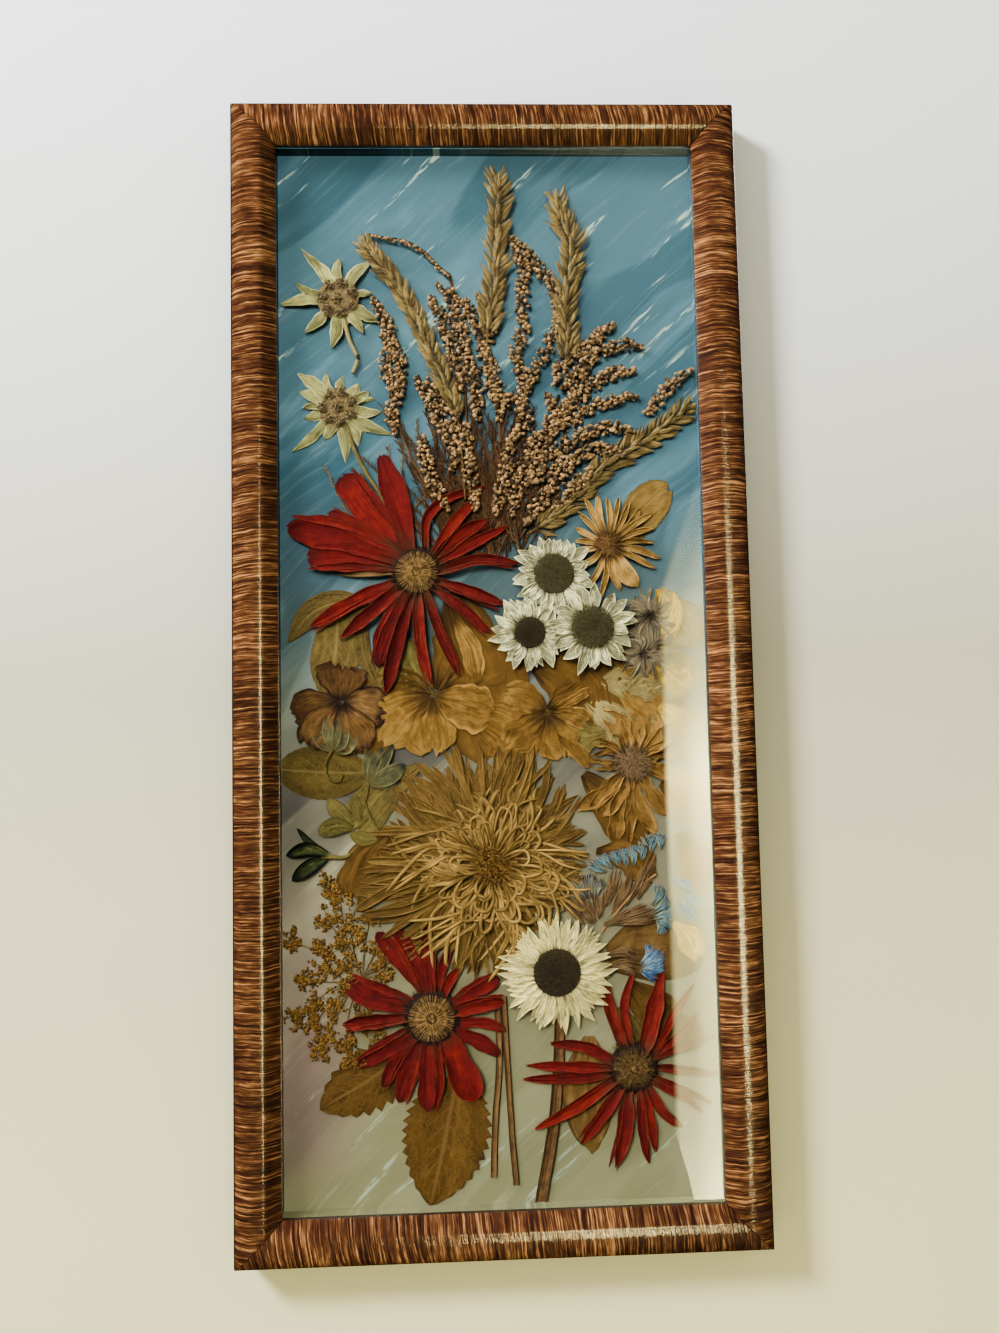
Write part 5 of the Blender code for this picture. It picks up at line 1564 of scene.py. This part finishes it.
def build_broad_flowers():
    ochre = tissue(
        "ochre_petal", (116, 82, 28), (142, 106, 42), (170, 136, 66), edge=(168, 134, 66), base=(88, 60, 20),
        tip=(166, 132, 66), lines=20, mottle=240, tip_reach=0.2, edge_start=0.92, base_reach=0.5,
    )
    brown = tissue("brown_gold_petal", (98, 68, 22), (122, 88, 32), (142, 106, 44),
                   edge=(112, 80, 30), base=(84, 56, 20), lines=10, mottle=180, relief=0.4)
    olive = tissue("olive_petal", (94, 80, 34), (132, 114, 56), (154, 138, 78),
                   edge=(124, 106, 52), lines=14, veins=(5.0, 0.4, (164, 146, 88), 0.4))
    cream = tissue("cream_gold_petal", (124, 90, 34), (154, 118, 52), (182, 148, 78),
                   edge=(182, 148, 80), base=(104, 74, 26), lines=16, mottle=240)
    left = Pressed("golden_flower_left", "golden_petals", [ochre, brown, olive, cream])
    broad_petals(left, GOLDEN_LEFT)
    small_heart(left, (-23.5, -200.0), 2.2, layer(1.6), 2)
    left.done()
    right = Pressed("golden_flower_right", "golden_petals", [ochre, brown, olive, cream])
    broad_petals(right, GOLDEN_RIGHT)
    small_heart(right, (20.5, -208.0), 1.8, layer(1.4), 2)
    right.done()

    veined = tissue("pale_petal", (118, 102, 58), (156, 138, 86), (182, 166, 112),
                    edge=(146, 126, 74), lines=30, veins=(3.0, 0.2, (194, 180, 130), 0.3))
    pale = Pressed("pale_petals", "pale_petals", [veined])
    broad_petals(pale, PALE_PETALS, 0.5)
    pale.done()

    butter = tissue("butter_petal", (150, 122, 30), (198, 170, 62), (222, 200, 96),
                    edge=(176, 146, 50), lines=24, veins=(3.0, 0.2, (236, 226, 160), 0.3))
    pale_blue = tissue("pale_blue_petal", (84, 124, 144), (126, 164, 178), (164, 192, 196), lines=16)
    loose = Pressed(
        "loose_petals", "golden_petals", [ochre, brown, olive, cream, veined, butter, pale_blue], nodes=[])
    broad_petals(loose, LOOSE_PETALS, 0.5, 0.5)
    loose.done()

    warm = tissue(
        "pansy_petal", (78, 48, 20), (110, 76, 32), (138, 102, 52), edge=(58, 34, 20), base=(58, 36, 20),
        tip=(78, 48, 24), lines=30, mottle=220, edge_start=0.84, tip_reach=0.12, relief=0.8,
    )
    lit = tissue("pansy_pale_patch", (92, 62, 28), (130, 96, 50), (160, 126, 74),
                 edge=(60, 36, 20), base=(70, 44, 24), tip=(62, 38, 24), tip_reach=0.25, relief=0.8)
    pansy = Pressed("pansy", "pansy_petals", [warm, lit])
    broad_petals(pansy, PANSY, 0.55, 0.3, 0.7)
    small_heart(pansy, (-60.0, -203.0), 1.5, layer(1.8), 1)
    pansy.done()


def small_heart(flower, middle, radius, low, finish):
    """The little knot of bits at a broad flower's centre."""
    dice = flower.dice
    for px, pz, share in swirl(16, radius):
        start = (middle[0] + px * 0.4, middle[1] + pz * 0.4, low)
        end = (middle[0] + px, middle[1] + pz, low + 0.6 + dice(-0.2, 0.3) - 0.4 * share)
        flower.spike(start, end, 0.22, 0.12, finish=finish)


def leaf(name, slot, finish, line, half, depth, along, across, fold, ridge=0.0, torn=0.0):
    """A leaf pressed flat. Torn is the height of the waves at its tip."""
    made = Pressed(name, slot, [finish])
    made.sheet(line, half, depth, along, across, relief=crumple(made.dice, fold, ridge=ridge),
               torn=uneven_tip(made.dice, torn) if torn else None)
    return made


def build_leaves():
    low = layer(0)
    olive = tissue("olive_leaf", (84, 66, 28), (114, 92, 42), (138, 116, 60), edge=(100, 84, 40),
                   edge_start=0.92, lines=10, mottle=180, veins=(7.0, 0.35, (160, 142, 86), 0.5))
    leaf("leaf_upper_left", "olive_leaf", olive, [(-48.5, -167.5), (-59.5, -164), (-71, -168), (-80, -179)],
         lance(11, 0.45, 0.5, 0.9), slope(low + 0.3, low, 0.3), 28, 8, 0.4).done()
    under = leaf("leaf_under_daisy", "olive_leaf", olive, [(-60.5, -166), (-61.5, -184), (-66.5, -198.5)],
                 lance(19, 0.55, 0.5, 0.55, 0.3), low + 0.2, 28, 12, 0.5, torn=1.5)
    under.sheet([(-51, -166), (-51, -182.5), (-45.5, -198)], lance(6, 0.5, 0.5), low + 0.5, along=20,
                relief=crumple(under.dice, 0.3))
    under.done()
    lime = tissue("yellow_green_leaf", (96, 76, 28), (118, 96, 40), (138, 116, 54), edge=(98, 76, 30),
                  edge_start=0.93, lines=4, mottle=120, veins=(8.0, 0.4, (168, 150, 92), 0.3))
    leaf("oval_leaf", "olive_leaf", lime, [(-49, -230), (-66, -229.5), (-84, -228)],
         toothed(lance(21.5, 0.5, 0.35, 0.5), 14, 0.05), low + 0.1, 56, 14, 0.4).done()
    ochre = tissue("ochre_leaf", (84, 58, 14), (110, 78, 24), (132, 98, 38), edge=(84, 58, 22),
                   edge_start=0.93, lines=8, veins=(7.0, 0.5, (152, 120, 66), 0.5))
    leaf("small_serrated_leaf", "tan_leaf", ochre, [(-38, -337.5), (-52, -346.5), (-69, -356)],
         toothed(lance(27, 0.40, 0.5), 8, 0.24), low + 0.1, 32, 16, 0.5, ridge=0.2).done()
    leaf("large_serrated_leaf", "tan_leaf", ochre, [(-17.5, -346.5), (-22, -368.5), (-28, -392.5)],
         toothed(lance(36, 0.40, 0.5), 12, 0.17), low + 0.1, 48, 16, 0.5, ridge=0.2).done()
    arcs = tissue("arched_leaf", (98, 70, 32), (136, 104, 52), (166, 134, 78), edge=(108, 78, 36), lines=9,
                  mottle=120, veins=(2.0, 0.2, (98, 68, 32), 0.3))
    leaf("golden_leaf_right", "tan_leaf", arcs, [(41.5, -303), (58, -300), (79, -303)],
         lance(24, 0.45, 0.4, 0.45), low, 28, 14, 0.4).done()
    leaf("golden_leaf_low", "tan_leaf", arcs, [(33.5, -332), (32.5, -353.5), (33.5, -374)],
         lance(20, 0.45, 0.2, 0.5), low, 28, 12, 0.5, torn=1.6).done()
    tan = tissue("tan_leaf", (104, 80, 30), (142, 112, 52), (166, 138, 76), edge=(110, 80, 34),
                 edge_start=0.9, lines=12, veins=(6.0, 0.4, (178, 150, 90), 0.45))
    leaf("tan_leaf", "tan_leaf", tan, [(52, -142), (61, -128), (71, -120)],
         toothed(lance(17.5, 0.6, 0.35, 0.4, 0.3), 8, 0.08), low + 0.2, 32, 12, 0.5, torn=1.4).done()
    build_grey_tuft()


def build_grey_tuft():
    """A withered flower head: curled strips round two hearts."""
    strip = tissue("grey_strip", (92, 78, 56), (136, 120, 92), (170, 154, 124),
                   edge=(164, 150, 120), base=(78, 62, 46), lines=8)
    tuft = Pressed("grey_dried_flower", "grey_flower", [strip])
    dice, strips = tuft.dice, 46
    for middle, reach, low in (((61.5, -171), 12, 0), ((58.5, -186), 12, 0.5)):
        for i in range(strips):
            turn = 360 * (i + dice.random()) / strips
            far = reach * dice(0.55, 1.05)
            high = layer(low) + dice(0.2, 1.4)
            tuft.petal(middle, turn, far, lance(dice(1.0, 2.4), 0.6, 0.4, 0.6),
                       slope(high, high - 0.4, 0.6), start=dice(0, 2), bow=dice(-2.2, 2.2),
                       along=8, across=2, roll=dice(0.6, 1.5), relief=crumple(dice, 0.5, 5.0))
        small_heart(tuft, middle, 2.4, layer(low) + 0.9, 0)
    tuft.done()


# The larkspurs' petals and the leaflets: width, layer and a line from the middle to the tip
LARKSPUR_LEFT = (
    (4.2, 1.2, (-61.5, -222), (-57, -220.5), (-53, -214)),
    (4.8, 1.0, (-63, -221.5), (-67, -218), (-71, -211)),
    (4.5, 1.5, (-62, -221.5), (-59, -218), (-58, -212.5)),
    (4.4, 1.6, (-63, -221), (-64.5, -215), (-64.5, -207)),
    (3.6, 1.9, (-62.5, -221), (-61, -215), (-61, -209.5)),
)
LARKSPUR_RIGHT = (
    (3.2, 0.8, (-49.5, -234), (-50, -228), (-49.5, -220.5)),
    (3.2, 0.8, (-48.5, -235), (-41, -234.5), (-36.5, -233)),
    (4.6, 1.0, (-48.5, -233.5), (-43.5, -226), (-39.5, -219)),
    (4.6, 1.3, (-49, -233.5), (-47, -227), (-44, -220.5)),
    (7.2, 1.4, (-48.5, -234.5), (-42, -231.5), (-35, -227)),
)
TREFOIL = (
    (4.8, 0.3, (-52.5, -248.5), (-54, -243.5), (-55, -237.5)),
    (6.8, 0.4, (-56, -248.5), (-61, -244.5), (-65, -239.5)),
    (7.2, 0.5, (-56, -251), (-62, -250), (-69, -253)),
    (5.8, 0.6, (-56.5, -253), (-52, -255), (-46, -255.5)),
)


def slim_petals(flower, petals, finish, roll=0.5):
    dice = flower.dice
    for width, number, *line in petals:
        low = layer(number)
        flower.sheet(line, lance(width, 0.5, 0.3, 0.7), slope(low + 0.2, low, 0.3), along=16, across=8,
                     roll=dice(0.3, 1.5) * roll, relief=crumple(dice, 0.25, ridge=0.2), finish=finish)


def build_larkspurs():
    blue_grey = tissue(
        "larkspur_petal", (54, 54, 34), (90, 86, 54), (130, 122, 80), edge=(138, 128, 82), base=(108, 98, 52),
        edge_start=0.75, lines=12, mottle=300, tip=(58, 66, 52), tip_reach=0.25,
    )
    olive = tissue("trefoil_leaf", (82, 72, 28), (112, 98, 44), (134, 118, 60),
                   edge=(92, 78, 32), lines=10, veins=(4.0, 0.4, (160, 146, 80), 0.4))
    stem = grain("green_straw_stem", (104, 92, 40), (166, 150, 90))
    left = Pressed("larkspur_left", "larkspur_petals", [blue_grey, stem])
    slim_petals(left, LARKSPUR_LEFT, 0)
    left.stalk([(-62.8, -220.5, layer(1.4)), (-65.6, -226.5, layer(1.1)), (-64.4, -232, layer(1.1)),
               (-60.5, -233.2, layer(1.1)), (-59.4, -230.8, layer(1.2))], 0.42, count=18, sides=6)
    left.done()
    right = Pressed("larkspur_right", "larkspur_petals", [blue_grey, stem, olive])
    slim_petals(right, LARKSPUR_RIGHT, 0)
    slim_petals(right, TREFOIL, 2, 0.2)
    right.stalk([(-48.8, -232.5, layer(1)), (-50, -239, layer(0.6)), (-50, -243, layer(0.6)),
                (-47.5, -249, layer(0.4)), (-44, -253, layer(0.4))], 0.5, count=14, sides=6)
    right.done()

    dark = tissue("green_bud", (22, 32, 18), (66, 74, 32), (128, 124, 62), edge=(24, 34, 20),
                  tip=(18, 26, 14), tip_reach=0.3, edge_start=0.6, lines=10, mottle=260)
    bud = Pressed("green_bud", "green_bud", [dark, stem])
    slim_petals(
        bud,
        ((3.0, 0.0, (-66, -260), (-72, -256), (-77, -250.5)),
        (6.6, 0.1, (-65.5, -262), (-72, -265), (-79, -270.5)),
        (8.6, 0.3, (-65, -260.5), (-73, -258), (-81, -261))), 0, 1.4,
    )
    bud.stalk(lying([(-67.5, -261.5), (-58.5, -262), (-54, -258), (-48, -253.5)], layer(0.3)),
              lambda u: 1.1 - 0.7 * u, count=16, sides=7)
    bud.done()


# The cornflowers: the lines of the florets, then the scaly or feathery parts below them, each with its
# width, how many strips or scales, and a line
CORNFLOWERS = {
    "cornflower_upper": ((
        [(41.5, -270), (38.5, -268.5), (35.5, -266)], [(44, -268.5), (41.5, -266), (39, -263.5)],
        [(47, -268), (45.5, -265), (43.5, -262)], [(50, -268.5), (49, -265), (47, -261)],
        [(52.5, -268), (52.5, -264), (51, -260)], [(55.5, -266), (56, -262.5), (55, -259)],
        [(59.5, -263), (59.5, -260), (59, -256)], [(63, -262), (63, -259), (62.5, -255.5)],
    ), (
        (6, 16, (40.5, -283), (43.5, -276), (45.5, -269.5)),
        (6, 18, (43.5, -286), (47.5, -277), (51, -269)),
        (6, 18, (53, -282), (56, -273.5), (61, -264)),
        (5, 12, (48, -284), (53, -276), (57, -268)),
    )),
    "cornflower_left": ((
        [(33, -280.5), (29.5, -276.5), (26, -272.5)], [(34.5, -280), (32, -276), (30.5, -271)],
        [(36, -280), (35, -275), (35.5, -270)], [(37.5, -280), (38, -276), (39.5, -272.5)],
    ), (
        (7, 20, (35, -290), (30.5, -284), (26, -279)),
        (7, 20, (37, -290), (34, -284.5), (31.5, -279)),
        (6, 16, (38.5, -288), (38, -283.5), (37.5, -279)),
    )),
    "cornflower_right": ((
        [(59, -283), (61.5, -279.5), (62.5, -275)], [(59.5, -286), (63, -283), (66, -280)],
        [(59.5, -288), (63.5, -286.5), (67.5, -284.5)], [(60.5, -289.5), (63.5, -289.5), (67, -289.5)],
        [(60.5, -288), (62, -291), (63.5, -294.5)],
    ), (
        (5, 24, (40, -290.5), (48.5, -287), (59, -283)),
        (4, 14, (44, -290), (52, -289), (60, -288)),
    )),
    "cornflower_lower": ((
        [(53.5, -305.5), (57, -302), (58.5, -298)], [(53.5, -307), (58.5, -304.5), (63, -301)],
        [(53.5, -307.5), (58.5, -307.5), (63.5, -305.5)], [(53.5, -307.5), (57.5, -310), (60, -311)],
    ), (
        (5, 14, (40.5, -301.5), (48, -300.5), (55, -303)),
        (6, 16, (41.5, -305.5), (48, -305.5), (54, -307.5)),
    )),
}


def floret(flower, line, low, finish):
    """A trumpet floret, pressed flat: lobes that part towards its tip."""
    dice = flower.dice
    start, bend, end = (Vector(point) for point in line)
    for k in range(-2, 3):
        side = (end - start).orthogonal().normalized()
        tip = end + side * k * 1.15 - (end - start).normalized() * abs(k) * 0.5
        flower.sheet([start, bend + side * k * 0.3, tip], lance(dice(1.4, 1.9), 0.6, 0.5),
                     slope(low, low + 0.3 * dice.random(), 0.3), along=8, across=3, roll=0.8,
                     relief=crumple(dice, 0.3, 4.0), finish=finish)


def build_cornflowers():
    slate = tissue("slate_floret", (40, 60, 78), (72, 102, 122), (110, 140, 152),
                   edge=(166, 180, 168), lines=8, base=(120, 116, 90))
    navy = tissue("navy_floret", (34, 40, 58), (62, 74, 98), (104, 112, 120),
                  edge=(170, 162, 132), edge_start=0.7, lines=8, base=(96, 76, 56))
    blue = tissue("blue_floret", (34, 66, 116), (58, 98, 146), (110, 146, 170),
                  edge=(172, 190, 190), edge_start=0.85, lines=10, base=(120, 100, 72))
    brown = tissue("brown_scale", (60, 38, 22), (106, 78, 48), (154, 124, 84), edge=(170, 142, 100), lines=8)
    straw = grain("pale_straw", (132, 100, 52), (196, 160, 104))
    colours = {"cornflower_left": navy, "cornflower_right": slate, "cornflower_lower": blue}
    for name, (florets, feathers) in CORNFLOWERS.items():
        flower = Pressed(name, "cornflower_petals", [colours.get(name, slate), brown, straw])
        dice = flower.dice
        base = 1.0 if name in ("cornflower_right", "cornflower_lower") else 0.3
        for line in florets:
            floret(flower, line, layer(base + 0.5), 0)
            start, end = Vector(line[0]), Vector(line[-1])
            for _ in range(5):
                tip = end + Vector((dice(-1, 1), dice(-1, 1))) * 1.8
                root = end.lerp(start, 0.5)
                high = layer(base + 0.9)
                flower.spike((root.x, root.y, high), (tip.x, tip.y, high + 0.4), 0.09, finish=2)
        for width, count, *line in feathers:
            for _ in range(count):
                shift = Vector((dice(-0.5, 0.5), dice(-0.5, 0.5))) * width
                points = [Vector(point) + shift * (0.25 + 0.75 * i / 2) for i, point in enumerate(line)]
                high = layer(base) + dice(-0.1, 0.6)
                first, last = sorted((dice(0, 0.35), dice(0.6, 1.0)))
                run = [points[0].lerp(points[-1], first), points[1], points[0].lerp(points[-1], last)]
                flower.sheet(run, lance(dice(0.6, 1.3), 0.5, 0.4), slope(high, high, 0.3),
                             along=6, across=2, roll=0.9, finish=1)
        if name == "cornflower_upper":
            flower.stalk(lying([(39, -293), (47.5, -283), (54.5, -275.5), (61, -271.5)], layer(1)), 0.4,
                         count=16, finish=2)
            flower.sheet([(48.5, -280), (50, -274), (51, -269)], lance(2.6, 0.5, 0.4), layer(1.2),
                         along=10, across=4, roll=0.8, finish=1)
        flower.done()


UMBEL_HUB = (-52.5, -307.5)
UMBEL_HEADS = (
    (-65, -273), (-61, -277), (-66, -285), (-57, -289), (-68, -296), (-60, -296), (-52, -294), (-46, -300),
    (-49, -284), (-35, -283), (-32, -296), (-73, -308), (-66, -303), (-71, -316), (-64, -318), (-78, -321),
    (-71, -324), (-66, -329), (-68, -335), (-59, -332), (-57, -337), (-48, -330), (-80, -293), (-54, -324),
    (-60, -311), (-45, -307), (-58, -303),
)


def build_umbel():
    """Thin rays from one point, each with a loose head of tiny grainy flowers."""
    gold = grain("umbel_grain", (92, 64, 22), (168, 130, 58), scale=700)
    ray = grain("umbel_ray", (108, 88, 52), (166, 142, 98))
    umbel = Pressed("umbel", "umbel_gold", [gold, ray])
    dice = umbel.dice
    hub = Vector(UMBEL_HUB)
    low = layer(0)
    for head in UMBEL_HEADS:
        x, z = head
        away = Vector(head) - hub
        bend = hub + away * 0.5 + away.orthogonal() * dice(-0.08, 0.08)
        umbel.stalk(lying([hub, bend, head], low), 0.24, count=8, sides=4)
        spread = dice(1.7, 2.5)
        clusters = [(x + dice.gauss(0, spread), z + dice.gauss(0, spread)) for _ in range(13)]
        for cx, cz in clusters:
            umbel.spike((x, z, low), (cx, cz, low + 0.5), 0.13, 0.1, sides=3, finish=1)
            for _ in range(13):
                spot = (cx + dice.gauss(0, 0.7), cz + dice.gauss(0, 0.7), low + dice(0.1, 0.5))
                umbel.bead(spot, dice(0.34, 0.58))
    umbel.done()


def build_stems():
    """Bare stems, pressed flat, each with a rolled section."""
    bark = tissue("stem_bark", (98, 70, 38), (142, 108, 64), (172, 138, 90), edge=(80, 54, 30),
                  edge_start=0.78, lines=7, mottle=240)
    forked = Pressed("forked_stem", "stem_brown", [bark], thick=0.4)
    for line, half, high in (
        ([(-1.5, -316), (-1, -339.5), (-3, -362), (-4, -383)], 1.15, 0.2),
        ([(1, -316), (2.2, -347), (3.2, -368), (4.5, -386)], 1.05, 0.5),
    ):
        forked.sheet(line, half, layer(0) + high, along=40, roll=0.9, relief=crumple(forked.dice, 0.15, 12.0))
    forked.done()
    thick = Pressed("thick_stem", "stem_brown", [bark], thick=0.4)
    thick.sheet([(22.5, -325), (21, -348), (18.5, -368), (12.8, -396)], slope(2.0, 2.4), layer(0) + 0.2,
                along=44, across=8, roll=0.8, relief=crumple(thick.dice, 0.2, 12.0))
    thick.done()


def needled_twig(sprigs, line, count, low, long=1.4, finish=0):
    """A thin twig with fine needles that point along it."""
    dice = sprigs.dice
    sprigs.stalk(lying(line, low), lambda u: 0.32 - 0.14 * u, count=14, sides=4, finish=finish)
    for spot, way in stations(line, count)[count // 4:]:
        side = way.orthogonal() * dice.choice((-1, 1))
        end = spot + way * dice(0.6, 1.4) * long + side * dice(0.4, 1.0) * long
        start = (spot.x, spot.y, low)
        sprigs.spike(start, (end.x, end.y, low + dice(0, 0.5)), 0.22, 0.1, sides=3, finish=finish)


def build_sprigs():
    """Needled twigs that fan out behind the sprays, too slight for solids of their own."""
    pale = grain("pale_needle", (112, 90, 64), (160, 134, 100))
    dark = grain("brown_needle", (74, 48, 26), (132, 96, 60))
    sprigs = Pressed("sprigs", "stem_brown", [pale, dark], nodes=[])
    dice = sprigs.dice
    for line in (
        [(-50, -142), (-57, -127), (-61, -118.5), (-65, -110)],
        [(-34, -140), (-37, -128), (-38, -115), (-40, -102)],
        [(-28, -140), (-30, -127.5), (-24, -120), (-20, -112)],
        [(-24, -138), (-26, -123.5), (-27, -112), (-29, -92)],
        [(-34, -136), (-34, -124), (-34.5, -112), (-34, -98)],
        [(-44, -134), (-48, -126), (-50, -119), (-50, -111)],
    ):
        needled_twig(sprigs, line, 44, layer(0) + 0.2)
    twigs = 150
    for i in range(twigs):
        root = Vector((dice(-20, 14), dice(-150, -130)))
        angle = radians(90 + 46 - 88 * (i + dice.random()) / twigs)
        reach = dice(20, 58)
        tip = root + heading(angle) * reach
        middle = root.lerp(tip, 0.5) + Vector((dice(-3, 3), 0))
        needled_twig(sprigs, [root, middle, tip], 44, layer(0) + dice(0.0, 0.9), 1.7, 1)
    sprigs.done()


set_camera()
set_lights(build_stage())
build_rails()
finish_stack()
build_red_daisies()
build_everlastings()
build_straw_and_brown_flowers()
build_edelweiss()
build_chrysanthemum()
build_grass_ears()
build_seed_sprays()
build_broad_flowers()
build_leaves()
build_larkspurs()
build_cornflowers()
build_umbel()
build_stems()
build_sprigs()
share_lights()
